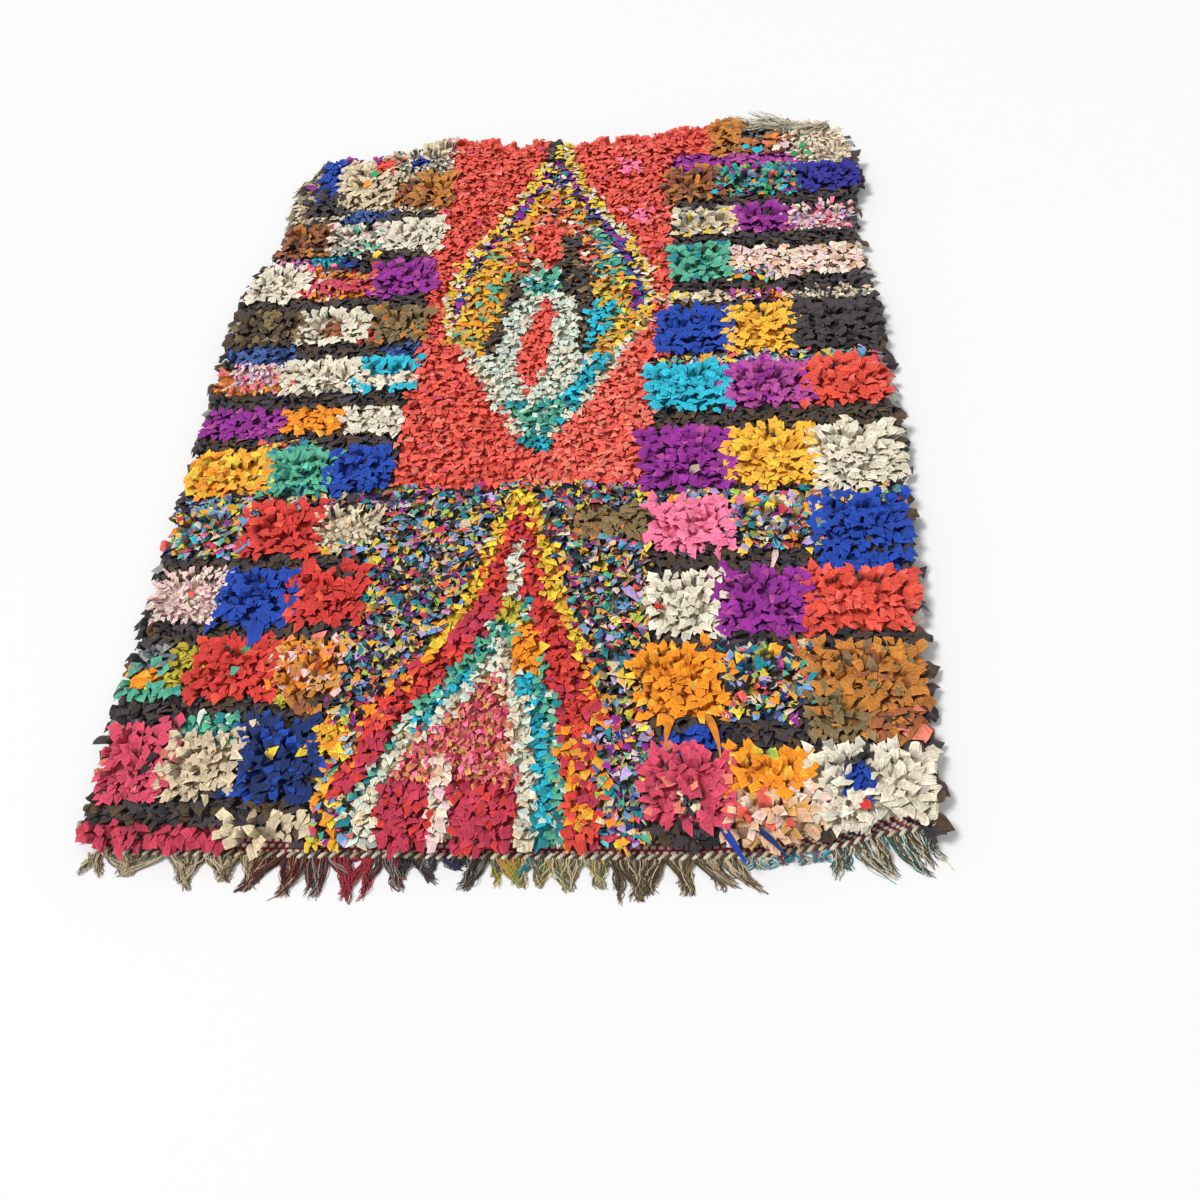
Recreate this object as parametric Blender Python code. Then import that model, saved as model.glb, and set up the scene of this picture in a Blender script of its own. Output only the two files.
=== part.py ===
"""A shaggy rag rug, lying flat: knotted rag pile on a woven ground, a twined near end, and warp fringes.

Metres, +Z up. X runs across the rug and Y along it, from the near end to the far one. The origin is the
middle of the flat underside. Distances named "along" start at the near end of the ground cloth.
"""

import math
import random
from typing import NamedTuple

import bmesh
import bpy
from mathutils import Vector

# The cloth: half the length lies on each side of the origin.
CLOTH_LENGTH = 1.89
ORIGIN_ALONG = CLOTH_LENGTH / 2

# The pile: a grid of lumps about as large as the rag knots that show.
COLUMNS = 46
ROWS = 58
PILE_HEIGHT = 0.027
RIM_HEIGHT = 0.017
KNOT_LUMP = 0.0045
LOOSE_LUMP = 0.0050
CHECK_CROWN = 0.004
BAND_TROUGH = 0.006
GROUND_THICKNESS = 0.004
HEADER_DEPTH = 0.018
PILE_SLOPE = 0.008
PILE_START = HEADER_DEPTH + PILE_SLOPE

# Rag ends that stand out round the rim.
LOCK_LEAST, LOCK_MOST = 0.014, 0.036
LOCK_SHARE = 0.9
LOCK_TIP_HEIGHT = 0.006
LOCK_SKEW = 0.3
LOCK_STEPS = ((0.55, 0.80), (0.45, 0.45))

# The twined cord along the near end, whose two strands show as slanting ridges.
CLEARANCE = 0.0004
TWINING_WIDTH = 0.010
TWINING_AXIS_HEIGHT = 0.0036
TWINING_RIDGE = 0.0014
TWINING_RIDGES = 100
RINGS_PER_RIDGE = 2
RIDGE_ANGLES = (180, 125, 55, 0)

# Warp fringes: a narrow strip that carries the strands, which rest on the floor.
STRIP_WIDTH = 0.005
STRIP_HEIGHT = 0.0045
NEAR_STRANDS = 96
STRAND_NARROWS = (0.75, 0.40)
STRAND_THINS = 0.85
STRAND_SHORTEST = 0.78
STRAND_STRAY = 0.25

# How far from level or from straight outward a wall may face and still carry a lock or a strand.
UPRIGHT_LIMIT = 0.2
OUTWARD_LIMIT = 0.5

SEED = 11


class Stop(NamedTuple):
    """One place on an edge: how far along the edge it is, and where the edge lies there."""

    at: float
    lies: float


class Tier(NamedTuple):
    """One row of colour checks, between two dark bands."""

    near: float
    far: float


class FringeRun(NamedTuple):
    """A run of the near fringe: where it starts across the rug, its reach, and how its tips lean to +X."""

    left: float
    reach: float
    lean: float


LEFT_EDGE = [
    Stop(0.00, -0.735), Stop(0.25, -0.742), Stop(0.55, -0.738), Stop(0.80, -0.733), Stop(1.00, -0.741),
    Stop(1.25, -0.735), Stop(1.38, -0.727), Stop(1.48, -0.690), Stop(1.58, -0.660), Stop(1.68, -0.668),
    Stop(1.76, -0.655), Stop(1.84, -0.622), Stop(1.89, -0.590),
]
RIGHT_EDGE = [
    Stop(0.00, 0.705), Stop(0.15, 0.712), Stop(0.35, 0.722), Stop(0.60, 0.735), Stop(0.90, 0.742),
    Stop(1.10, 0.738), Stop(1.22, 0.742), Stop(1.38, 0.718), Stop(1.52, 0.716), Stop(1.66, 0.738),
    Stop(1.76, 0.735), Stop(1.84, 0.722), Stop(1.89, 0.700),
]
FAR_EDGE = [
    Stop(-0.75, 1.855), Stop(-0.60, 1.862), Stop(-0.52, 1.843), Stop(-0.42, 1.872), Stop(-0.28, 1.905),
    Stop(-0.20, 1.900), Stop(-0.12, 1.868), Stop(-0.06, 1.888), Stop(0.00, 1.872), Stop(0.06, 1.862),
    Stop(0.20, 1.874), Stop(0.36, 1.888), Stop(0.46, 1.915), Stop(0.54, 1.898), Stop(0.64, 1.888),
    Stop(0.75, 1.870),
]
NEAR_EDGE = [
    Stop(-0.75, 0.004), Stop(-0.40, 0.000), Stop(0.30, 0.000), Stop(0.42, 0.004), Stop(0.54, 0.018),
    Stop(0.64, 0.040), Stop(0.75, 0.062),
]

LEFT_TIERS = [
    Tier(0.00, 0.06), Tier(0.08, 0.24), Tier(0.27, 0.41), Tier(0.43, 0.57), Tier(0.59, 0.73),
    Tier(0.74, 0.87), Tier(0.90, 1.01), Tier(1.02, 1.14), Tier(1.17, 1.30), Tier(1.32, 1.45),
    Tier(1.48, 1.60), Tier(1.64, 1.89),
]
RIGHT_TIERS = [
    Tier(0.00, 0.18), Tier(0.22, 0.37), Tier(0.40, 0.54), Tier(0.57, 0.71), Tier(0.72, 0.89),
    Tier(0.93, 1.08), Tier(1.10, 1.25), Tier(1.33, 1.46), Tier(1.48, 1.59), Tier(1.62, 1.74),
    Tier(1.77, 1.89),
]
LEFT_FIELD = (-0.735, -0.300)
RIGHT_FIELD = (0.255, 0.735)
CHECKS_PER_FIELD = 3

NEAR_FRINGE = [
    FringeRun(-0.735, 0.058, 0.2), FringeRun(-0.52, 0.068, 0.1), FringeRun(-0.40, 0.084, 0.4),
    FringeRun(-0.34, 0.056, -0.2), FringeRun(-0.28, 0.088, 0.1), FringeRun(-0.23, 0.104, 0.3),
    FringeRun(-0.19, 0.090, -0.1), FringeRun(-0.13, 0.052, 0.3), FringeRun(-0.07, 0.034, 0.5),
    FringeRun(0.00, 0.072, 0.1), FringeRun(0.12, 0.062, 0.2), FringeRun(0.26, 0.082, 0.3),
    FringeRun(0.36, 0.060, 0.7), FringeRun(0.50, 0.026, 0.4), FringeRun(0.60, 0.064, 0.8),
]

# The corners of the far end, where the warp ends show beyond the pile: a run of the left rim, by how far
# along it lies, and a run of the far rim, by its place across.
CORNER_REACH = 0.062
CORNER_SHORTEST = 0.6
CORNER_STRAY = 0.35
STRETCHES_PER_CELL = 4
FAR_LEFT_RUN = (1.66, 1.86)
FAR_RIGHT_RUN = (0.48, 0.70)

RAG_ROUGHNESS = 0.85
YARN_ROUGHNESS = 0.9
RAG_COLOUR = (0.62, 0.12, 0.10, 1.0)
TWINE_COLOUR = (0.62, 0.52, 0.38, 1.0)
WARP_COLOUR = (0.45, 0.36, 0.26, 1.0)


def clear_scene():
    """Removes every object of the startup scene."""
    for thing in list(bpy.data.objects):
        bpy.data.objects.remove(thing, do_unlink=True)


def cloth_material(name, colour, roughness):
    """A dull Principled material for one kind of yarn or rag."""
    material = bpy.data.materials.new(name)
    material.use_nodes = True
    shader = material.node_tree.nodes["Principled BSDF"]
    shader.inputs["Base Color"].default_value = colour
    shader.inputs["Roughness"].default_value = roughness
    shader.inputs["Metallic"].default_value = 0.0
    material.diffuse_color = colour
    return material


def finished(name, bm, material):
    """Turns a bmesh into an object that carries one material."""
    bmesh.ops.recalc_face_normals(bm, faces=bm.faces)
    mesh = bpy.data.meshes.new(name)
    bm.to_mesh(mesh)
    bm.free()
    mesh.materials.append(material)
    thing = bpy.data.objects.new(name, mesh)
    bpy.context.scene.collection.objects.link(thing)
    return thing


def along_edge(stops, at):
    """Where an edge lies at a distance along it, smoothly between its stops."""
    if at <= stops[0].at:
        return stops[0].lies
    for before, after in zip(stops, stops[1:]):
        if at <= after.at:
            share = (at - before.at) / (after.at - before.at)
            share = share * share * (3 - 2 * share)
            return before.lies + (after.lies - before.lies) * share
    return stops[-1].lies


def near_corners():
    """The grid's own places along the near edge, which the cord and the fringe follow."""
    left, right = LEFT_EDGE[0].lies, RIGHT_EDGE[0].lies
    places = []
    for column in range(COLUMNS + 1):
        across = left + (right - left) * column / COLUMNS
        places.append((across, along_edge(NEAR_EDGE, across)))
    return places


def near_line(across):
    """How far along the near edge of the ground cloth lies at a place across the rug."""
    corners = near_corners()
    for (x0, y0), (x1, y1) in zip(corners, corners[1:]):
        if across <= x1:
            return y0 + (y1 - y0) * (across - x0) / (x1 - x0)
    return corners[-1][1]


def crown(position, near, far):
    """1 in the middle of a stretch, falling to 0 at its ends."""
    share = (position - near) / (far - near)
    return 1 - (2 * share - 1) ** 4


def relief(across, along):
    """How far the checks' crowns and the dark bands' troughs raise or lower the pile at a place."""
    for field, tiers in ((LEFT_FIELD, LEFT_TIERS), (RIGHT_FIELD, RIGHT_TIERS)):
        if not field[0] <= across <= field[1]:
            continue
        check = (field[1] - field[0]) / CHECKS_PER_FIELD
        start = field[0] + math.floor((across - field[0]) / check) * check
        for tier in tiers:
            if tier.near <= along <= tier.far:
                return CHECK_CROWN * crown(across, start, start + check) * crown(along, tier.near, tier.far)
        return -BAND_TROUGH
    return 0.0


def row_places():
    """How far along each row of the grid lies: the bare header first, and then the pile."""
    pile_rows = ROWS - 2
    pile = [PILE_START + (CLOTH_LENGTH - PILE_START) * row / pile_rows for row in range(pile_rows + 1)]
    return [0.0, HEADER_DEPTH] + pile


def place_on_cloth(column, along):
    """The grid point's place across and along, with the rug's uneven edges."""
    left, right = along_edge(LEFT_EDGE, along), along_edge(RIGHT_EDGE, along)
    across = left + (right - left) * column / COLUMNS
    near = along_edge(NEAR_EDGE, across)
    if along <= PILE_START:
        return across, near + along
    near += PILE_START
    share = (along - PILE_START) / (CLOTH_LENGTH - PILE_START)
    return across, near + (along_edge(FAR_EDGE, across) - near) * share


def pile_height(column, row, across, along, chance):
    """The height of the top at a grid point: knots stand and sink by turns, and each is a little loose."""
    if row <= 1:
        return GROUND_THICKNESS
    lump = LOOSE_LUMP * chance.uniform(-1, 1)
    if column in (0, COLUMNS) or row in (2, ROWS):
        return RIM_HEIGHT + lump / 2
    lump += KNOT_LUMP if (column + row) % 2 else -KNOT_LUMP
    return PILE_HEIGHT + relief(across, along) + lump


def rag_lock(bm, wall, length, chance):
    """Draws one rag end out of a rim wall: wide at its root, low and narrow at its tip."""
    outward = wall.normal.copy()
    outward.z = 0
    outward.normalize()
    skew = Vector((-outward.y, outward.x, 0)) * chance.uniform(-LOCK_SKEW, LOCK_SKEW)
    face = wall
    for share, narrow in LOCK_STEPS:
        face = bmesh.ops.extrude_discrete_faces(bm, faces=[face])["faces"][0]
        middle = face.calc_center_median()
        for vertex in face.verts:
            vertex.co.x = middle.x + (vertex.co.x - middle.x) * narrow
            vertex.co.y = middle.y + (vertex.co.y - middle.y) * narrow
            if vertex.co.z > GROUND_THICKNESS:
                vertex.co.z = max(LOCK_TIP_HEIGHT, vertex.co.z * narrow)
            vertex.co += (outward + skew) * length * share


def takes_lock(wall):
    """Whether a rim wall may carry a rag end: none stands on the header or under a fringe."""
    middle = wall.calc_center_median()
    along = middle.y + ORIGIN_ALONG
    cell = CLOTH_LENGTH / ROWS
    if along < PILE_START + NEAR_EDGE[-1].lies:
        return False
    if middle.x < 0 and FAR_LEFT_RUN[0] - cell < along < FAR_LEFT_RUN[1] + cell:
        return abs(wall.normal.y) > abs(wall.normal.x)
    return not (wall.normal.y > OUTWARD_LIMIT and FAR_RIGHT_RUN[0] - cell < middle.x < FAR_RIGHT_RUN[1] + cell)


def make_pile(chance):
    """The knotted pile on its woven ground, in one piece: a lumpy slab with rag ends round its rim."""
    bm = bmesh.new()
    bmesh.ops.create_grid(bm, x_segments=COLUMNS, y_segments=ROWS, size=1.0)
    rows = row_places()
    top = bm.verts.layers.float.new("top")
    for vertex in bm.verts:
        column = round((vertex.co.x + 1) / 2 * COLUMNS)
        row = round((vertex.co.y + 1) / 2 * ROWS)
        across, along = place_on_cloth(column, rows[row])
        vertex[top] = pile_height(column, row, across, along, chance)
        vertex.co = (across, along - ORIGIN_ALONG, 0)
    raised = bmesh.ops.extrude_face_region(bm, geom=list(bm.faces))
    for part in raised["geom"]:
        if isinstance(part, bmesh.types.BMVert):
            part.co.z = part[top]
    bmesh.ops.recalc_face_normals(bm, faces=bm.faces)
    rim = [face for face in bm.faces if abs(face.normal.z) < UPRIGHT_LIMIT and takes_lock(face)]
    rim.sort(key=lambda wall: math.atan2(wall.calc_center_median().y, wall.calc_center_median().x))
    for wall in rim[::2]:
        if chance.random() < LOCK_SHARE:
            rag_lock(bm, wall, chance.uniform(LOCK_LEAST, LOCK_MOST), chance)
    return finished("rag_pile", bm, cloth_material("rag", RAG_COLOUR, RAG_ROUGHNESS))


def swept(rings):
    """A closed body through rings of points, with its two ends filled."""
    bm = bmesh.new()
    made = [[bm.verts.new(point) for point in ring] for ring in rings]
    count = len(rings[0])
    for before, after in zip(made, made[1:]):
        for side in range(count):
            other = (side + 1) % count
            bm.faces.new((before[side], before[other], after[other], after[side]))
    bm.faces.new(made[0][::-1])
    bm.faces.new(made[-1])
    return bm


def twining_ring(across, turn):
    """One section of the twined cord: flat below, with its strands' ridges raised by its turn."""
    inner = near_line(across) - CLEARANCE - ORIGIN_ALONG
    middle = inner - TWINING_WIDTH / 2
    reach = TWINING_WIDTH / 2 - TWINING_RIDGE
    ring = [(across, middle + reach, 0), (across, middle - reach, 0)]
    for step, angle in enumerate(RIDGE_ANGLES):
        swell = TWINING_RIDGE * (0.5 + 0.5 * math.cos(turn - step * math.pi / 2))
        out = math.cos(math.radians(angle)) * (reach + swell)
        up = math.sin(math.radians(angle)) * (TWINING_AXIS_HEIGHT + swell)
        ring.append((across, middle + out, TWINING_AXIS_HEIGHT + up))
    return ring


def make_twining():
    """The cord twined round the warp ends, along the near edge."""
    left, right = LEFT_EDGE[0].lies, RIGHT_EDGE[0].lies
    steps = TWINING_RIDGES * RINGS_PER_RIDGE
    rings = []
    for step in range(steps + 1):
        across = left + (right - left) * step / steps
        rings.append(twining_ring(across, math.tau * step / RINGS_PER_RIDGE))
    return finished("near_twining", swept(rings), cloth_material("twine", TWINE_COLOUR, YARN_ROUGHNESS))


def fringe_run(across):
    """The run of the near fringe at a place across the rug."""
    found = NEAR_FRINGE[0]
    for run in NEAR_FRINGE:
        if across >= run.left:
            found = run
    return found


def draw_strand(bm, root, outward, reach, sideways):
    """Draws one strand out of the strip's outer face, tapering and resting on the floor."""
    face = root
    segments = len(STRAND_NARROWS)
    for segment, narrow in enumerate(STRAND_NARROWS):
        face = bmesh.ops.extrude_discrete_faces(bm, faces=[face])["faces"][0]
        middle = face.calc_center_median()
        bend = sideways * (segment + 0.5) / segments
        for vertex in face.verts:
            vertex.co.x = middle.x + (vertex.co.x - middle.x) * narrow
            vertex.co.y = middle.y + (vertex.co.y - middle.y) * narrow
            vertex.co.z *= STRAND_THINS
            vertex.co += (outward + bend) * reach / segments


def strip_with_strands(name, inner_line, outward, strand_of, material):
    """A narrow strip on the floor, with a strand from every second stretch of its outer side.

    inner_line holds the places of the strip's inner side, and strand_of gives a strand's reach and its
    sideways bend from the place where it starts.
    """
    across_strip = outward * STRIP_WIDTH
    rings = []
    for place in inner_line:
        outer = place + across_strip
        rings.append([
            (outer.x, outer.y, 0), (place.x, place.y, 0),
            (place.x, place.y, STRIP_HEIGHT), (outer.x, outer.y, STRIP_HEIGHT),
        ])
    bm = swept(rings)
    bmesh.ops.recalc_face_normals(bm, faces=bm.faces)
    sides = [face for face in bm.faces if face.normal.dot(outward) > OUTWARD_LIMIT]
    sides.sort(key=lambda face: (face.calc_center_median() - inner_line[0]).length)
    for face in sides[::2]:
        reach, bend = strand_of(face.calc_center_median())
        draw_strand(bm, face, outward, reach, bend)
    return finished(name, bm, material)


def make_near_fringe(chance, material):
    """The near fringe, which hangs from the twined cord's outer side."""
    left, right = LEFT_EDGE[0].lies, RIGHT_EDGE[0].lies
    stretches = NEAR_STRANDS * 2 - 1
    offset = CLEARANCE * 2 + TWINING_WIDTH + ORIGIN_ALONG

    def strand_of(place):
        """A strand as long as its run of the fringe."""
        run = fringe_run(place.x)
        bend = run.lean + chance.uniform(-STRAND_STRAY, STRAND_STRAY)
        return run.reach * chance.uniform(STRAND_SHORTEST, 1.0) - STRIP_WIDTH, Vector((bend, 0, 0))

    inner_line = []
    for step in range(stretches + 1):
        across = left + (right - left) * step / stretches
        inner_line.append(Vector((across, near_line(across) - offset, 0)))
    return strip_with_strands("near_fringe", inner_line, Vector((0, -1, 0)), strand_of, material)


def rim_line(corners, outward):
    """Places beside a run of the rim, a clearance off it, with each cell of the rim cut into stretches."""
    line = []
    for before, after in zip(corners, corners[1:]):
        line += [before.lerp(after, step / STRETCHES_PER_CELL) for step in range(STRETCHES_PER_CELL)]
    line.append(corners[-1])
    return [place + outward * CLEARANCE for place in line]


def make_corner_fringe(name, corners, outward, chance, material):
    """A short fringe beside a run of the far end's rim."""
    sideways = Vector((-outward.y, outward.x, 0))

    def strand_of(_place):
        """A strand of the corner, a little askew."""
        reach = CORNER_REACH * chance.uniform(CORNER_SHORTEST, 1.0)
        return reach, sideways * chance.uniform(-CORNER_STRAY, CORNER_STRAY)

    return strip_with_strands(name, rim_line(corners, outward), outward, strand_of, material)


def rim_point(column, row):
    """The place of a grid point of the rim, on the floor."""
    across, along = place_on_cloth(column, row_places()[row])
    return Vector((across, along - ORIGIN_ALONG, 0))


def main():
    """Builds the rug."""
    clear_scene()
    chance = random.Random(SEED)
    warp = cloth_material("warp", WARP_COLOUR, YARN_ROUGHNESS)
    make_pile(chance)
    make_twining()
    make_near_fringe(chance, warp)
    left_rim = [rim_point(0, row) for row in range(ROWS + 1)]
    low, high = (at - ORIGIN_ALONG for at in FAR_LEFT_RUN)
    corners = [place for place in left_rim if low < place.y < high]
    make_corner_fringe("far_left_fringe", corners, Vector((-1, 0, 0)), chance, warp)
    far_rim = [rim_point(column, ROWS) for column in range(COLUMNS + 1)]
    corners = [place for place in far_rim if FAR_RIGHT_RUN[0] < place.x < FAR_RIGHT_RUN[1]]
    make_corner_fringe("far_right_fringe", corners, Vector((0, 1, 0)), chance, warp)


main()
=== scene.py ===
"""The looks of a shaggy rag rug that lies flat: its knotted rag ends, ground weave, twined edge and fringes.

Metres, +Z up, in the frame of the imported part: X runs across the rug and Y along it, and the origin is the
middle of the flat underside. Distances named "along" start at the near end of the ground cloth.
"""

import logging
import math
from dataclasses import dataclass
from enum import Enum
from typing import NamedTuple

import bmesh
import bpy
import numpy as np
from mathutils import Matrix, Vector


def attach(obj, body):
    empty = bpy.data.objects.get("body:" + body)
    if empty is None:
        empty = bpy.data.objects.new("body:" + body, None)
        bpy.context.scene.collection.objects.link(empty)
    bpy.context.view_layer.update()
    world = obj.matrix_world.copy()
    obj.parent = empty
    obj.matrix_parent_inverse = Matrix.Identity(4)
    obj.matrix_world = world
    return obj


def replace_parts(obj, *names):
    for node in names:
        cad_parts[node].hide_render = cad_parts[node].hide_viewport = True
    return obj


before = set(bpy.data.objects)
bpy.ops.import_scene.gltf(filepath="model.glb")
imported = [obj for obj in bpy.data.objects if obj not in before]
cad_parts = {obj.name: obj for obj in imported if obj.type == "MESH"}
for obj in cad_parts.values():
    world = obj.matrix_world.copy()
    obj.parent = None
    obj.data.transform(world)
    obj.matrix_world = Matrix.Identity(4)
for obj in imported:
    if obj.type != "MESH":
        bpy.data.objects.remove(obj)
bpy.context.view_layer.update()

LOG = logging.getLogger("rug")
SEED = 29

# The cloth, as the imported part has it.
CLOTH_LENGTH = 1.89
ORIGIN_ALONG = CLOTH_LENGTH / 2
HEADER_DEPTH = 0.018
BED_HEIGHT = 0.0225

Edge = list[tuple[float, float]]
Chance = np.random.Generator
Thing = bpy.types.Object

# Each edge as places along it and where the edge lies there.
LEFT_EDGE: Edge = [
    (0.00, -0.735), (0.25, -0.742), (0.55, -0.738), (0.80, -0.733), (1.00, -0.741), (1.25, -0.735),
    (1.38, -0.727), (1.48, -0.690), (1.58, -0.660), (1.68, -0.668), (1.76, -0.655), (1.84, -0.622),
    (1.89, -0.590),
]
RIGHT_EDGE: Edge = [
    (0.00, 0.705), (0.15, 0.712), (0.35, 0.722), (0.60, 0.735), (0.90, 0.742), (1.10, 0.738),
    (1.22, 0.742), (1.38, 0.718), (1.52, 0.716), (1.66, 0.738), (1.76, 0.735), (1.84, 0.722),
    (1.89, 0.700),
]
FAR_EDGE: Edge = [
    (-0.75, 1.855), (-0.60, 1.862), (-0.52, 1.843), (-0.42, 1.872), (-0.28, 1.905), (-0.20, 1.900),
    (-0.12, 1.868), (-0.06, 1.888), (0.00, 1.872), (0.06, 1.862), (0.20, 1.874), (0.36, 1.888),
    (0.46, 1.915), (0.54, 1.898), (0.64, 1.888), (0.75, 1.870),
]
NEAR_EDGE: Edge = [
    (-0.75, 0.004), (-0.40, 0.000), (0.30, 0.000), (0.42, 0.004), (0.54, 0.018), (0.64, 0.040),
    (0.75, 0.062),
]


class Dye(Enum):
    """The colours of the rags and yarns, as eight-bit sRGB."""

    ROSE = 0xD24862
    ROSE_RED = 0xC43A52
    PINK = 0xFA7CA0
    PALE_PINK = 0xEBC4C6
    BLUSH = 0xF2D3C2
    PEACH = 0xE2B490
    CORAL = 0xF26253
    SHRIMP = 0xFF8270
    VERMILION = 0xE24E3C
    RED = 0xD43A34
    CRIMSON = 0xB8344C
    SALMON = 0xE07C68
    GOLD = 0xD9A45A
    ORANGE = 0xF7941E
    MUSTARD = 0xFEBE3C
    AMBER = 0xF0AA34
    YELLOW = 0xEBCB3C
    LIME = 0xA8BE4A
    CAMEL = 0xC47D34
    TERRACOTTA = 0x9C5C38
    OLIVE = 0x85704A
    DARK_OLIVE = 0x4E4032
    IVORY = 0xE6DCC6
    CREAM = 0xDECAA8
    MINT = 0xD3DDCE
    BEIGE = 0xC9B698
    GREY = 0x9A968F
    CHARCOAL = 0x453D41
    BLACK = 0x29252A
    BROWN = 0x54412F
    ROYAL = 0x1B45AA
    NAVY = 0x162E66
    DENIM = 0x43609C
    SKY = 0x6C9CCB
    INDIGO = 0x2E2C92
    TURQUOISE = 0x28BAD2
    TEAL = 0x1E8690
    SEA_GREEN = 0x58B090
    GREEN = 0x36A060
    PURPLE = 0x942A92
    PLUM = 0xB44A98
    LILAC = 0xBCA2D4
    MAROON = 0x5A1E28
    SLATE = 0x6E7C84
    MUSTARD_GREEN = 0xC0AE38


def dye_mix(names: str) -> tuple[Dye, ...]:
    """A mixture of dyes by name; a figure after a name says how often that dye is in it."""
    parts = (word.partition("*") for word in names.split())
    return tuple(Dye[name] for name, _star, times in parts for _ in range(int(times or 1)))


class CutSizes(NamedTuple):
    """How one kind of rag is cut and knotted: least and most sizes of an end, and its mesh."""

    pitch: tuple[float, float]
    width: tuple[float, float]
    length: tuple[float, float]
    cells: tuple[int, int]
    ends: int
    crumple: float


class Cut(Enum):
    """The kinds of rag that the pile is knotted from."""

    WIDE = CutSizes((0.0136, 0.0152), (0.013, 0.024), (0.024, 0.037), (3, 4), 2, 1.0)
    PUFF = CutSizes((0.0130, 0.0145), (0.012, 0.021), (0.018, 0.027), (3, 4), 2, 1.0)
    BAND = CutSizes((0.0148, 0.0148), (0.018, 0.031), (0.018, 0.026), (3, 4), 2, 1.0)
    SNIP = CutSizes((0.0135, 0.0150), (0.013, 0.025), (0.018, 0.029), (3, 4), 2, 0.9)
    SLIM = CutSizes((0.0105, 0.0135), (0.005, 0.011), (0.018, 0.028), (2, 5), 2, 0.8)
    TAG = CutSizes((0.0240, 0.0240), (0.014, 0.027), (0.028, 0.046), (3, 5), 1, 0.9)
    LOOSE = CutSizes((0.0200, 0.0200), (0.020, 0.028), (0.070, 0.090), (4, 9), 1, 1.3)
    HEM = CutSizes((0.0075, 0.0075), (0.014, 0.026), (0.022, 0.032), (3, 4), 1, 1.0)


class Recipe(NamedTuple):
    """What one patch of the pile is knotted from; a dye that is named more often is used more often."""

    cut: Cut
    dyes: tuple[Dye, ...]
    printed: float = 0.0


DARK_PRINT_DYES = dye_mix(
    "BLACK*3 CHARCOAL NAVY TEAL*2 DENIM SKY YELLOW AMBER LIME PURPLE LILAC CORAL ROSE CRIMSON "
    "CREAM SEA_GREEN OLIVE SKY YELLOW AMBER CREAM"
)
LIGHT_PRINT_DYES = DARK_PRINT_DYES[4:] + dye_mix("SKY TURQUOISE YELLOW MINT LILAC SLATE")
SPECKLE_DYES = dye_mix("YELLOW*2 IVORY CREAM PURPLE*2 SEA_GREEN DENIM AMBER TEAL INDIGO")


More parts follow.
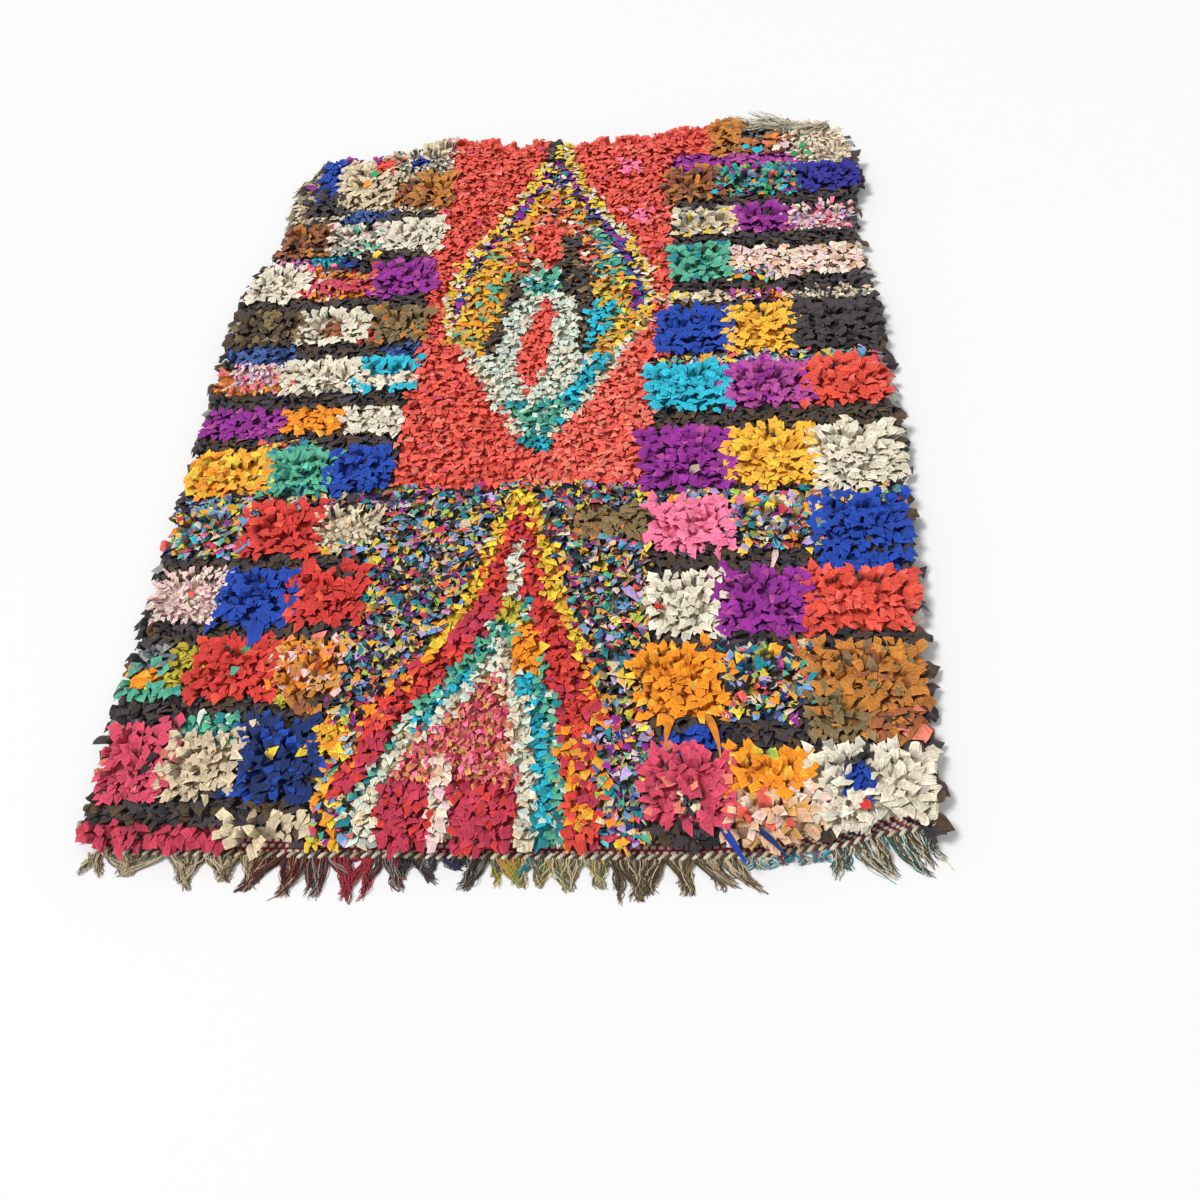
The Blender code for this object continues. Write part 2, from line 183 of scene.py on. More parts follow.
class Cloth(Enum):
    """The stuffs of the patches."""

    ROSE = Recipe(Cut.WIDE, dye_mix("ROSE*12 SALMON"))
    ROSE_RED = Recipe(Cut.WIDE, dye_mix("ROSE_RED"))
    PINK = Recipe(Cut.WIDE, dye_mix("PINK"))
    PALE_PINK = Recipe(Cut.SLIM, dye_mix("PALE_PINK*2 IVORY BLUSH"))
    PALE_PINK_MIX = Recipe(Cut.SLIM, dye_mix("PALE_PINK IVORY BLUSH PALE_PINK PINK LILAC"))
    BLUSH = Recipe(Cut.WIDE, dye_mix("BLUSH*2 PALE_PINK IVORY PEACH"))
    PEACH = Recipe(Cut.WIDE, dye_mix("PEACH*2 BLUSH GOLD PEACH CORAL"))
    FIELD = Recipe(Cut.PUFF, dye_mix("CORAL*24 VERMILION*4 ROSE SALMON SHRIMP"))
    PALE_FIELD = Recipe(Cut.PUFF, dye_mix("CORAL*10 SHRIMP*6 SALMON VERMILION"))
    CORAL = Recipe(Cut.PUFF, dye_mix("CORAL"))
    VERMILION = Recipe(Cut.WIDE, dye_mix("VERMILION*12 CORAL*3"))
    RED = Recipe(Cut.WIDE, dye_mix("RED*10 VERMILION"))
    SPIRE_RED = Recipe(Cut.PUFF, dye_mix("RED*2 VERMILION CRIMSON"))
    LOW_RED = Recipe(Cut.WIDE, dye_mix("CRIMSON ROSE_RED*2 RED"))
    LOW_ORANGE = Recipe(Cut.WIDE, dye_mix("ORANGE RED AMBER CRIMSON VERMILION"))
    ROSE_BED = Recipe(Cut.SLIM, dye_mix("SALMON ROSE_RED ROSE SALMON PINK GOLD"), 0.3)
    ACCENT = Recipe(Cut.WIDE, dye_mix("YELLOW AMBER YELLOW ORANGE LILAC TEAL BLACK"))
    ORANGE = Recipe(Cut.WIDE, dye_mix("ORANGE*12 MUSTARD"))
    ORANGE_MIX = Recipe(Cut.SLIM, dye_mix("ORANGE CAMEL IVORY PINK SALMON ORANGE"))
    MUSTARD = Recipe(Cut.WIDE, dye_mix("MUSTARD*9 AMBER"))
    AMBER = Recipe(Cut.WIDE, dye_mix("AMBER MUSTARD AMBER YELLOW ORANGE"))
    YELLOW = Recipe(Cut.PUFF, dye_mix("YELLOW*2 AMBER"))
    SALMON_MIX = Recipe(Cut.SNIP, dye_mix("ORANGE SALMON CAMEL GOLD ORANGE PALE_PINK"), 0.3)
    CAMEL = Recipe(Cut.WIDE, dye_mix("CAMEL*12 TERRACOTTA OLIVE"))
    TERRACOTTA = Recipe(Cut.WIDE, dye_mix("TERRACOTTA CAMEL BROWN TERRACOTTA"))
    OLIVE = Recipe(Cut.WIDE, dye_mix("OLIVE*6 CAMEL"))
    OLIVE_YELLOW = Recipe(Cut.PUFF, dye_mix("MUSTARD_GREEN"))
    GREY_BLUE = Recipe(Cut.BAND, dye_mix("SLATE*2 GREY"))
    DARK_OLIVE = Recipe(Cut.WIDE, dye_mix("DARK_OLIVE*2 BROWN OLIVE"))
    IVORY = Recipe(Cut.WIDE, dye_mix("IVORY"))
    BEIGE = Recipe(Cut.WIDE, dye_mix("CREAM*2 BEIGE"))
    CREAM_MIX = Recipe(Cut.SNIP, dye_mix("CREAM IVORY CREAM BEIGE YELLOW GREY"))
    KNOBBY = Recipe(Cut.SLIM, dye_mix("CREAM IVORY CREAM BEIGE"))
    MINT = Recipe(Cut.PUFF, dye_mix("MINT*2 IVORY"))
    WHITE_RING = Recipe(Cut.PUFF, dye_mix("IVORY CREAM MINT"))
    TWEED = Recipe(Cut.SLIM, dye_mix("IVORY CREAM IVORY CHARCOAL CREAM GREY"))
    DARK_TWEED = Recipe(Cut.SLIM, dye_mix("CHARCOAL BLACK GREY CHARCOAL CREAM"))
    CHARCOAL = Recipe(Cut.WIDE, dye_mix("CHARCOAL*6 BLACK"))
    DARK_BAND = Recipe(Cut.BAND, dye_mix("CHARCOAL*6 BROWN BLACK*2"))
    BROWN_BAND = Recipe(Cut.BAND, dye_mix("BROWN*2 CHARCOAL"))
    ROYAL = Recipe(Cut.WIDE, dye_mix("ROYAL"))
    ROYAL_PUFF = Recipe(Cut.PUFF, dye_mix("ROYAL"))
    NAVY = Recipe(Cut.WIDE, dye_mix("NAVY ROYAL NAVY"))
    DENIM = Recipe(Cut.BAND, dye_mix("DENIM*2 NAVY"))
    INDIGO = Recipe(Cut.WIDE, dye_mix("INDIGO"))
    TURQUOISE = Recipe(Cut.WIDE, dye_mix("TURQUOISE"))
    TURQUOISE_PUFF = Recipe(Cut.PUFF, dye_mix("TURQUOISE*2 TEAL"))
    SEA_GREEN = Recipe(Cut.WIDE, dye_mix("SEA_GREEN*5 TEAL"))
    GREEN_PUFF = Recipe(Cut.PUFF, dye_mix("SEA_GREEN*2 TEAL MINT"))
    PURPLE = Recipe(Cut.WIDE, dye_mix("PURPLE*9 PLUM"))
    PLUM = Recipe(Cut.WIDE, dye_mix("PLUM*4 PURPLE"))
    DARK_PRINT = Recipe(Cut.SNIP, DARK_PRINT_DYES, 0.9)
    LIGHT_PRINT = Recipe(Cut.SNIP, LIGHT_PRINT_DYES, 0.7)
    TEAL_PRINT = Recipe(Cut.PUFF, dye_mix("TEAL PURPLE SEA_GREEN GREEN TURQUOISE ORANGE"), 0.55)
    PURPLE_PRINT = Recipe(Cut.SNIP, dye_mix("PURPLE ORANGE PLUM CREAM CHARCOAL"), 0.5)
    RED_PRINT = Recipe(Cut.PUFF, dye_mix("ROSE RED VERMILION ORANGE PINK"), 0.3)
    GREY_PRINT = Recipe(Cut.SNIP, dye_mix("IVORY GREY PALE_PINK SEA_GREEN IVORY"), 0.4)
    SPECKLE = Recipe(Cut.BAND, SPECKLE_DYES, 0.15)
    PALE_LINE = Recipe(Cut.PUFF, dye_mix("YELLOW IVORY YELLOW CREAM AMBER"))
    PURPLE_LINE = Recipe(Cut.BAND, dye_mix("PURPLE*3 TEAL DENIM INDIGO YELLOW"))
    AMBER_LINE = Recipe(Cut.BAND, dye_mix("AMBER GOLD AMBER YELLOW SEA_GREEN ORANGE"))
    GREEN_LINE = Recipe(Cut.BAND, dye_mix("SEA_GREEN MINT SEA_GREEN TEAL AMBER CREAM"))
    DARK_RING = Recipe(Cut.BAND, dye_mix("CHARCOAL BROWN CHARCOAL OLIVE"))
    CORE = Recipe(Cut.BAND, dye_mix("CORAL SALMON CORAL SALMON ORANGE IVORY BROWN"))
    THREADS = Recipe(Cut.SLIM, dye_mix("IVORY CREAM IVORY BLUSH"))
    TAN_THREADS = Recipe(Cut.SLIM, dye_mix("BEIGE OLIVE GREY BEIGE CREAM"))
    SLATE_THREADS = Recipe(Cut.SLIM, dye_mix("SLATE CHARCOAL SLATE CREAM DARK_OLIVE"))
    PEACH_MIX = Recipe(Cut.WIDE, dye_mix("TERRACOTTA SALMON CAMEL TERRACOTTA BROWN"))
    LILAC_MIX = Recipe(Cut.SLIM, dye_mix("LILAC PALE_PINK PINK LILAC PLUM"))
    FINE_TURQUOISE = Recipe(Cut.SLIM, dye_mix("TURQUOISE*2 TEAL"))


class Patch(NamedTuple):
    """A rectangle of the pile, knotted from one stuff."""

    left: float
    right: float
    near: float
    far: float
    cloth: Cloth


class Tier(NamedTuple):
    """A row of checks: its near and far sides, and where each check ends, with what it is knotted from."""

    near: float
    far: float
    start: float
    checks: tuple[tuple[float, Cloth], ...]


GROUNDS = [Patch(*row) for row in (
    (-0.78, -0.29, -0.05, 1.62, Cloth.DARK_BAND), (-0.78, -0.28, 1.62, 1.95, Cloth.KNOBBY),
    (0.24, 0.78, -0.05, 1.95, Cloth.DARK_BAND), (-0.33, 0.25, -0.05, 0.76, Cloth.DARK_PRINT),
    (-0.295, 0.25, 0.76, 1.10, Cloth.FIELD), (-0.28, 0.295, 1.10, 1.95, Cloth.FIELD),
)]
TIERS = [
    Tier(0.03, 0.18, 0.25, ((0.39, Cloth.ROSE), (0.52, Cloth.ORANGE), (0.74, Cloth.IVORY))),
    Tier(0.22, 0.38, 0.24, ((0.38, Cloth.ORANGE), (0.53, Cloth.DARK_PRINT), (0.75, Cloth.CAMEL))),
    Tier(0.39, 0.54, 0.26, ((0.38, Cloth.IVORY), (0.54, Cloth.PURPLE), (0.75, Cloth.VERMILION))),
    Tier(0.57, 0.71, 0.26, ((0.41, Cloth.PINK), (0.57, Cloth.LIGHT_PRINT), (0.76, Cloth.ROYAL))),
    Tier(0.72, 0.89, 0.24, ((0.41, Cloth.PURPLE), (0.575, Cloth.MUSTARD), (0.76, Cloth.IVORY))),
    Tier(0.93, 1.07, 0.25, ((0.41, Cloth.TURQUOISE), (0.575, Cloth.PLUM), (0.76, Cloth.VERMILION))),
    Tier(1.09, 1.24, 0.27, ((0.42, Cloth.ROYAL), (0.56, Cloth.MUSTARD), (0.76, Cloth.CHARCOAL))),
    Tier(1.24, 1.31, 0.27, ((0.42, Cloth.CREAM_MIX), (0.57, Cloth.PURPLE_PRINT), (0.76, Cloth.TWEED))),
    Tier(1.32, 1.45, 0.30, ((0.42, Cloth.SEA_GREEN), (0.75, Cloth.BLUSH))),
    Tier(1.47, 1.58, 0.31, ((0.45, Cloth.CREAM_MIX), (0.57, Cloth.PURPLE), (0.75, Cloth.PALE_PINK_MIX))),
    Tier(1.60, 1.73, 0.29, ((0.41, Cloth.TERRACOTTA), (0.60, Cloth.TEAL_PRINT), (0.76, Cloth.INDIGO))),
    Tier(1.76, 1.97, 0.26, (
        (0.395, Cloth.FIELD), (0.475, Cloth.CAMEL), (0.58, Cloth.PEACH_MIX), (0.76, Cloth.THREADS),
    )),
    Tier(-0.05, 0.06, -0.78, ((-0.49, Cloth.ROSE_RED), (-0.36, Cloth.BEIGE))),
    Tier(0.08, 0.24, -0.78, ((-0.62, Cloth.ROSE), (-0.49, Cloth.BEIGE), (-0.35, Cloth.NAVY))),
    Tier(0.27, 0.41, -0.78, ((-0.61, Cloth.SEA_GREEN), (-0.46, Cloth.RED), (-0.33, Cloth.SALMON_MIX))),
    Tier(0.43, 0.57, -0.78, ((-0.60, Cloth.PALE_PINK), (-0.455, Cloth.ROYAL), (-0.315, Cloth.RED))),
    Tier(0.585, 0.725, -0.78, ((-0.58, Cloth.LIGHT_PRINT), (-0.43, Cloth.RED), (-0.31, Cloth.LIGHT_PRINT))),
    Tier(0.74, 0.87, -0.78, ((-0.565, Cloth.AMBER), (-0.43, Cloth.SEA_GREEN), (-0.305, Cloth.ROYAL))),
    Tier(0.90, 1.005, -0.78, ((-0.565, Cloth.PURPLE), (-0.43, Cloth.ORANGE), (-0.295, Cloth.IVORY))),
    Tier(1.02, 1.13, -0.78, ((-0.575, Cloth.ORANGE_MIX), (-0.41, Cloth.IVORY), (-0.29, Cloth.TURQUOISE))),
    Tier(1.17, 1.29, -0.78, ((-0.57, Cloth.DARK_OLIVE), (-0.41, Cloth.IVORY), (-0.28, Cloth.OLIVE))),
    Tier(1.32, 1.45, -0.78, ((-0.60, Cloth.IVORY), (-0.42, Cloth.RED_PRINT), (-0.28, Cloth.PURPLE))),
    Tier(1.47, 1.60, -0.78, ((-0.56, Cloth.TERRACOTTA), (-0.415, Cloth.GREY_PRINT), (-0.275, Cloth.IVORY))),
]
ODDMENTS = [Patch(*row) for row in (
    (0.27, 0.37, 0.175, 0.215, Cloth.ROYAL_PUFF), (0.39, 0.53, 0.00, 0.10, Cloth.PEACH),
    (0.578, 0.624, 0.095, 0.152, Cloth.ROYAL_PUFF), (0.53, 0.62, 0.20, 0.275, Cloth.OLIVE),
    (0.62, 0.73, 0.20, 0.265, Cloth.PEACH_MIX),
    (0.24, 0.75, 0.70, 0.727, Cloth.LIGHT_PRINT), (0.57, 0.76, 0.54, 0.58, Cloth.ROYAL),
    (0.24, 0.76, 0.89, 0.93, Cloth.BROWN_BAND), (0.27, 0.76, 1.07, 1.10, Cloth.LIGHT_PRINT),
    (0.30, 0.41, 1.73, 1.79, Cloth.PURPLE), (0.41, 0.60, 1.73, 1.78, Cloth.PLUM),
    (0.47, 0.61, 1.845, 1.95, Cloth.SLATE_THREADS), (0.60, 0.76, 1.60, 1.635, Cloth.DARK_BAND),
    (0.61, 0.74, 1.73, 1.80, Cloth.THREADS),
    (0.185, 0.240, 1.555, 1.600, Cloth.PINK), (0.165, 0.220, 1.740, 1.785, Cloth.PINK),
    (0.09, 0.25, 0.625, 0.695, Cloth.OLIVE), (0.42, 0.52, 1.32, 1.36, Cloth.LIGHT_PRINT),
    (0.42, 0.75, 1.455, 1.475, Cloth.DARK_BAND),
    (-0.78, -0.665, 0.35, 0.40, Cloth.GREY_BLUE), (-0.665, -0.61, 0.305, 0.40, Cloth.OLIVE_YELLOW),
    (-0.78, -0.675, 0.315, 0.345, Cloth.ORANGE), (-0.36, -0.29, 0.175, 0.23, Cloth.AMBER),
    (-0.62, -0.50, 0.20, 0.25, Cloth.GREEN_PUFF), (-0.78, -0.60, 0.555, 0.59, Cloth.BROWN_BAND),
    (-0.43, -0.31, 0.62, 0.70, Cloth.KNOBBY), (-0.78, -0.30, 0.725, 0.755, Cloth.DARK_PRINT),
    (-0.60, -0.48, 0.865, 0.90, Cloth.DARK_PRINT), (-0.72, -0.58, 1.07, 1.13, Cloth.PALE_PINK_MIX),
    (-0.41, -0.28, 1.055, 1.085, Cloth.IVORY), (-0.74, -0.58, 1.13, 1.185, Cloth.DENIM),
    (-0.37, -0.28, 1.13, 1.17, Cloth.DENIM), (-0.53, -0.475, 1.205, 1.255, Cloth.TERRACOTTA),
    (-0.42, -0.39, 1.19, 1.23, Cloth.RED), (-0.60, -0.45, 1.36, 1.395, Cloth.ROSE),
    (-0.58, -0.44, 1.335, 1.36, Cloth.ORANGE_MIX), (-0.57, -0.44, 1.40, 1.43, Cloth.SALMON_MIX),
    (-0.72, -0.60, 1.445, 1.485, Cloth.LILAC_MIX), (-0.60, -0.52, 1.445, 1.49, Cloth.FINE_TURQUOISE),
    (-0.52, -0.47, 1.445, 1.475, Cloth.NAVY), (-0.54, -0.42, 1.605, 1.65, Cloth.DENIM),
    (-0.42, -0.28, 1.605, 1.64, Cloth.DARK_BAND), (-0.64, -0.54, 1.64, 1.71, Cloth.CHARCOAL),
    (-0.56, -0.43, 1.67, 1.83, Cloth.BEIGE), (-0.42, -0.35, 1.66, 1.76, Cloth.TERRACOTTA),
    (-0.35, -0.27, 1.66, 1.76, Cloth.CAMEL), (-0.62, -0.56, 1.71, 1.87, Cloth.ROYAL),
    (-0.44, -0.28, 1.79, 1.91, Cloth.TWEED), (-0.38, -0.345, 1.82, 1.855, Cloth.ROYAL),
    (-0.57, -0.49, 1.84, 1.90, Cloth.PLUM), (-0.49, -0.43, 1.80, 1.85, Cloth.VERMILION),
    (-0.50, -0.43, 1.785, 1.80, Cloth.PLUM), (-0.78, -0.62, 1.69, 1.95, Cloth.TAN_THREADS),
    (0.300, 0.336, 0.062, 0.105, Cloth.DARK_TWEED), (-0.455, -0.420, 0.272, 0.305, Cloth.OLIVE_YELLOW),
    (-0.410, -0.340, 0.272, 0.303, Cloth.TERRACOTTA),
)]


class LooseEnd(NamedTuple):
    """One end that stands out on its own: its knot, its direction in degrees, its dye and its shape."""

    across: float
    along: float
    degrees: float
    dye: Dye
    length: float = 0.024
    width: float = 0.020
    taper: float = 0.2


LOOSE_ENDS = [LooseEnd(*row) for row in (
    (0.285, 0.240, -92.0, Dye.ORANGE, 0.080, 0.014, 0.75),
    (0.345, 0.245, -58.0, Dye.ORANGE, 0.112, 0.015, 0.80),
    (0.365, 0.045, -58.0, Dye.ROYAL, 0.095, 0.015, 0.6),
    (0.425, 0.035, -35.0, Dye.NAVY, 0.080, 0.012, 0.7),
    (-0.515, 0.450, -80.0, Dye.ROYAL, 0.075, 0.036, 0.3),
    (-0.435, 0.590, -78.0, Dye.RED, 0.060, 0.030, 0.4),
    (0.505, 0.400, -80.0, Dye.VERMILION, 0.064, 0.012, 0.7),
    (0.490, 0.580, -95.0, Dye.PALE_PINK, 0.058, 0.013, 0.6),
    (0.200, 0.505, -60.0, Dye.LILAC, 0.058, 0.020, 0.7),
    (0.270, 0.600, -50.0, Dye.PINK, 0.050, 0.014, 0.7),
    (-0.430, 0.160, 60.0, Dye.YELLOW), (-0.545, 0.330, 10.0, Dye.SEA_GREEN),
    (-0.520, 0.365, 80.0, Dye.GREEN), (-0.660, 0.160, 0.0, Dye.BLACK),
    (-0.655, 0.150, -70.0, Dye.BLACK), (-0.665, 0.515, -90.0, Dye.CORAL, 0.02, 0.014),
    (0.600, 0.085, -60.0, Dye.RED), (0.275, 0.455, 160.0, Dye.RED, 0.02, 0.012),
    (0.330, 0.770, 40.0, Dye.BEIGE), (0.510, 1.795, -90.0, Dye.TURQUOISE, 0.036, 0.030),
    (0.555, 1.850, -90.0, Dye.ORANGE, 0.034, 0.026), (0.575, 1.810, -70.0, Dye.PALE_PINK, 0.04),
    (0.612, 1.770, -115.0, Dye.GREEN, 0.032, 0.018), (0.630, 1.770, -60.0, Dye.GREEN, 0.032, 0.018),
    (0.622, 1.775, 70.0, Dye.GREEN, 0.028, 0.018), (0.500, 1.800, -150.0, Dye.TURQUOISE, 0.034, 0.018),
    (0.570, 1.800, -120.0, Dye.IVORY, 0.04), (-0.440, 1.455, 60.0, Dye.YELLOW, 0.036),
    (0.435, 0.155, 90.0, Dye.YELLOW),
    (0.450, 0.165, -20.0, Dye.LIME), (-0.500, 1.790, -20.0, Dye.GREEN, 0.036, 0.028),
    (-0.505, 1.755, -60.0, Dye.ORANGE, 0.034, 0.028), (-0.670, 1.760, -30.0, Dye.PURPLE, 0.05),
    (0.545, 0.170, 30.0, Dye.GREY), (0.640, 0.235, -100.0, Dye.TERRACOTTA, 0.034, 0.026),
)]
TAG_DYES = dye_mix("CHARCOAL*2 BROWN BLACK BROWN GREY")


def linear(dye: Dye) -> np.ndarray:
    """A dye's colour in linear light."""
    parts = np.array([dye.value >> 16, dye.value >> 8 & 255, dye.value & 255]) / 255
    return np.where(parts <= 0.04045, parts / 12.92, ((parts + 0.055) / 1.055) ** 2.4)


def smooth(low: float, high: float, value: np.ndarray) -> np.ndarray:
    """0 below low, 1 above high, and a smooth step between."""
    share = np.clip((value - low) / (high - low), 0, 1)
    return share * share * (3 - 2 * share)


def along_edge(edge: Edge, at: np.ndarray) -> np.ndarray:
    """Where an edge lies at places along it, smoothly between its stops.

    Args:
        edge: The edge's stops.
        at: The places along it.

    Returns:
        Where the edge lies at each place.
    """
    stops, lies = (np.array(column) for column in zip(*edge))
    at = np.clip(at, stops[0], stops[-1])
    before = np.clip(np.searchsorted(stops, at) - 1, 0, len(stops) - 2)
    share = smooth(0, 1, (at - stops[before]) / (stops[before + 1] - stops[before]))
    return lies[before] + (lies[before + 1] - lies[before]) * share


def placed(name: str, data: bpy.types.ID) -> Thing:
    """Puts an object into the scene.

    Args:
        name: The object's name.
        data: Its mesh, camera or light.

    Returns:
        The object, at the origin.
    """
    thing = bpy.data.objects.new(name, data)
    bpy.context.scene.collection.objects.link(thing)
    return thing


def object_of(bm: bmesh.types.BMesh, name: str) -> Thing:
    """Turns a bmesh into an object, and frees it.

    Args:
        bm: The bmesh.
        name: The object's name.

    Returns:
        The object.
    """
    mesh = bpy.data.meshes.new(name)
    bm.to_mesh(mesh)
    bm.free()
    return placed(name, mesh)


def flat_grid(columns: int, rows: int) -> tuple[bmesh.types.BMesh, np.ndarray]:
    """Makes a flat grid.

    Args:
        columns: How many cells it has across.
        rows: How many cells it has along.

    Returns:
        The grid, and each point's place in it as shares of its width and length.
    """
    bm = bmesh.new()
    bmesh.ops.create_grid(bm, x_segments=columns, y_segments=rows, size=1.0)
    bm.verts.index_update()
    return bm, np.array([vertex.co[:2] for vertex in bm.verts]) / 2 + 0.5


def move_points(bm: bmesh.types.BMesh, points: np.ndarray) -> None:
    """Moves each point of a bmesh to its new place."""
    for vertex, point in zip(bm.verts, points):
        vertex.co = point


def faces_by_slot(bm: bmesh.types.BMesh, slot: np.ndarray) -> np.ndarray:
    """The faces of a bmesh, by the slots that its points have in an ordered list."""
    return np.array([[slot[vertex.index] for vertex in face.verts] for face in bm.faces])


def faces_of_copies(faces: np.ndarray, count: int, points: int) -> np.ndarray:
    """The faces of many copies of one mesh that has so many points, joined in order."""
    return (faces[None] + (np.arange(count) * points)[:, None, None]).reshape(-1, faces.shape[1])


class Chart:
    """Says which stuff a knot is made of: checks at the sides, a lozenge over a spire in the middle."""

    # Half the lozenge's width by how far along it is, and the spire's axis and half width.
    LOZENGE = [
        (0.83, 0.0), (0.90, 0.055), (1.00, 0.115), (1.10, 0.170), (1.20, 0.240), (1.30, 0.255),
        (1.40, 0.235), (1.50, 0.190), (1.60, 0.130), (1.70, 0.080), (1.80, 0.045), (1.89, 0.030),
    ]
    CORE = [
        (1.00, 0.0), (1.04, 0.018), (1.10, 0.034), (1.18, 0.031), (1.24, 0.024), (1.29, 0.010),
        (1.30, 0.0),
    ]
    SPIRE_AXIS = [(0.0, -0.08), (0.10, -0.078), (0.25, -0.055), (0.40, -0.015), (0.75, -0.01)]
    SPIRE = [
        (0.0, 0.276), (0.10, 0.276), (0.25, 0.225), (0.40, 0.145), (0.50, 0.095), (0.65, 0.055),
        (0.75, 0.02),
    ]
    # How deep in from the lozenge's edge its pale outline and the line within it reach.
    OUTLINE, INNER_LINE = 0.026, 0.052
    # How deep in from the spire's edge its yellow, red, green, turquoise and white bands reach.
    YELLOW, RED, GREEN, TURQUOISE, WHITE = 0.028, 0.088, 0.114, 0.140, 0.172
    # Where the spire's foot ends and its tip begins, and where the lozenge's tips do.
    FOOT, SPIRE_TOP, LOWER_TIP, UPPER_TIP = 0.225, 0.74, 1.12, 1.80

    def __init__(self, splay: float = 0.019) -> None:
        """Lists the patches, the later ones over the earlier ones.

        Args:
            splay: How far a check's ends reach beyond its knots, over the dark bands.
        """
        self.patches: list[Patch] = list(GROUNDS)
        for tier in TIERS:
            left = tier.start
            for right, cloth in tier.checks:
                self.patches.append(Patch(left, right, tier.near + splay, tier.far - splay, cloth))
                left = right
        self.patches += ODDMENTS

    def patch_of(self, across: np.ndarray, along: np.ndarray) -> np.ndarray:
        """Finds the patch on top at each place, or the nearest one.

        Args:
            across: The places across the rug.
            along: The places along the rug.

        Returns:
            The patches' indices.
        """
        best = np.full(len(across), np.inf)
        found = np.zeros(len(across), int)
        for index, patch in enumerate(self.patches):
            beside = np.maximum(patch.left - across, across - patch.right)
            beyond = np.maximum(patch.near - along, along - patch.far)
            gap = np.maximum(np.maximum(beside, beyond), 0)
            nearer = gap <= best
            best[nearer], found[nearer] = gap[nearer], index
        return found

    def cloths(self, across: np.ndarray, along: np.ndarray) -> tuple[list[Cloth], np.ndarray]:
        """Finds the stuffs of many knots.

        Args:
            across: The knots' places across the rug.
            along: The knots' places along the rug.

        Returns:
            The stuffs, and the indices of the knots' patches.
        """
        found = self.patch_of(across, along)
        return [self.cloth_at(x, y, self.patches[i]) for x, y, i in zip(across, along, found)], found

    def cloth_at(self, across: float, along: float, patch: Patch) -> Cloth:
        """Finds the stuff of one knot, with the lozenge and the spire over the grounds of the middle.

        Args:
            across: The knot's place across the rug.
            along: The knot's place along the rug.
            patch: Its patch.

        Returns:
            The stuff.
        """
        if patch.cloth is Cloth.FIELD and abs(across) < 0.28:
            return self.lozenge(across, along)
        cloth = patch.cloth
        if cloth is Cloth.DARK_BAND and self.is_brown(across, along):
            return Cloth.BROWN_BAND
        if cloth is Cloth.DARK_PRINT and -0.34 < across < 0.25:
            cloth = self.spire(across, along)
        if cloth in (Cloth.DARK_PRINT, Cloth.LIGHT_PRINT) and self.is_accent(across, along):
            return Cloth.ACCENT
        return cloth

    def lozenge(self, across: float, along: float) -> Cloth:
        """Finds the stuff of the upper middle, by how deep a place lies inside the lozenge.

        Args:
            across: The place across the rug.
            along: The place along the rug.

        Returns:
            The stuff.
        """
        width = float(np.interp(along, *zip(*self.LOZENGE)))
        depth = width - abs(across - 0.008)
        if depth < 0 or width <= 0:
            return Cloth.PALE_FIELD if across > 0 and along < 1.25 else Cloth.FIELD
        if along > self.UPPER_TIP:
            return Cloth.DARK_RING if across < 0.01 else Cloth.PALE_LINE
        if along < self.LOWER_TIP:
            return self.lower_tip(across, along, depth)
        core = self.core_depth(across, along)
        if core > 0:
            return Cloth.CORAL
        if core > -0.056 and along < 1.31:
            return Cloth.MINT
        if core > -0.084 and along < 1.30 and depth > self.INNER_LINE:
            return Cloth.DARK_RING
        if depth < self.OUTLINE:
            return Cloth.PALE_LINE if along > 1.16 else Cloth.WHITE_RING
        if depth < self.INNER_LINE:
            return Cloth.PURPLE_LINE if along > 1.24 else Cloth.AMBER_LINE
        if along > 1.70:
            return Cloth.SPECKLE
        if depth < (0.145 if along < 1.42 else 0.095):
            if across > 0 and along < 1.27:
                return Cloth.TURQUOISE_PUFF if depth > 0.095 else Cloth.AMBER_LINE
            return Cloth.GREEN_LINE if across > 0 and 1.36 < along < 1.54 else Cloth.AMBER_LINE
        if along < 1.39:
            return Cloth.GREEN_PUFF if abs(across + 0.01) < 0.045 and along > 1.31 else Cloth.DARK_RING
        if abs(across) < 0.032 and along > 1.42:
            return Cloth.CORAL if along < 1.55 else Cloth.CORE
        return Cloth.DARK_RING if 0 < across < 0.075 and along < 1.52 else Cloth.CORE

    def lower_tip(self, across: float, along: float, depth: float) -> Cloth:
        """Finds the stuff of the lower tip: green in a pale outline, with a turquoise point and side.

        Args:
            across: The place across the rug.
            along: The place along the rug.
            depth: How far inside the outline the place lies.

        Returns:
            The stuff.
        """
        if along < 0.885:
            return Cloth.TURQUOISE_PUFF
        if depth < 0.022:
            return Cloth.WHITE_RING
        if along < 0.99:
            return Cloth.GREEN_PUFF if depth > 0.028 or across < 0 else Cloth.TURQUOISE_PUFF
        if across > 0.02 and depth < 0.065:
            return Cloth.TURQUOISE_PUFF
        return Cloth.CORAL if self.core_depth(across, along) > 0 else Cloth.MINT

    def core_depth(self, across: float, along: float) -> float:
        """How deep a place lies inside the lozenge's leaning coral core."""
        return float(np.interp(along, *zip(*self.CORE))) - abs(across + 0.012 - 0.12 * (along - 1.15))

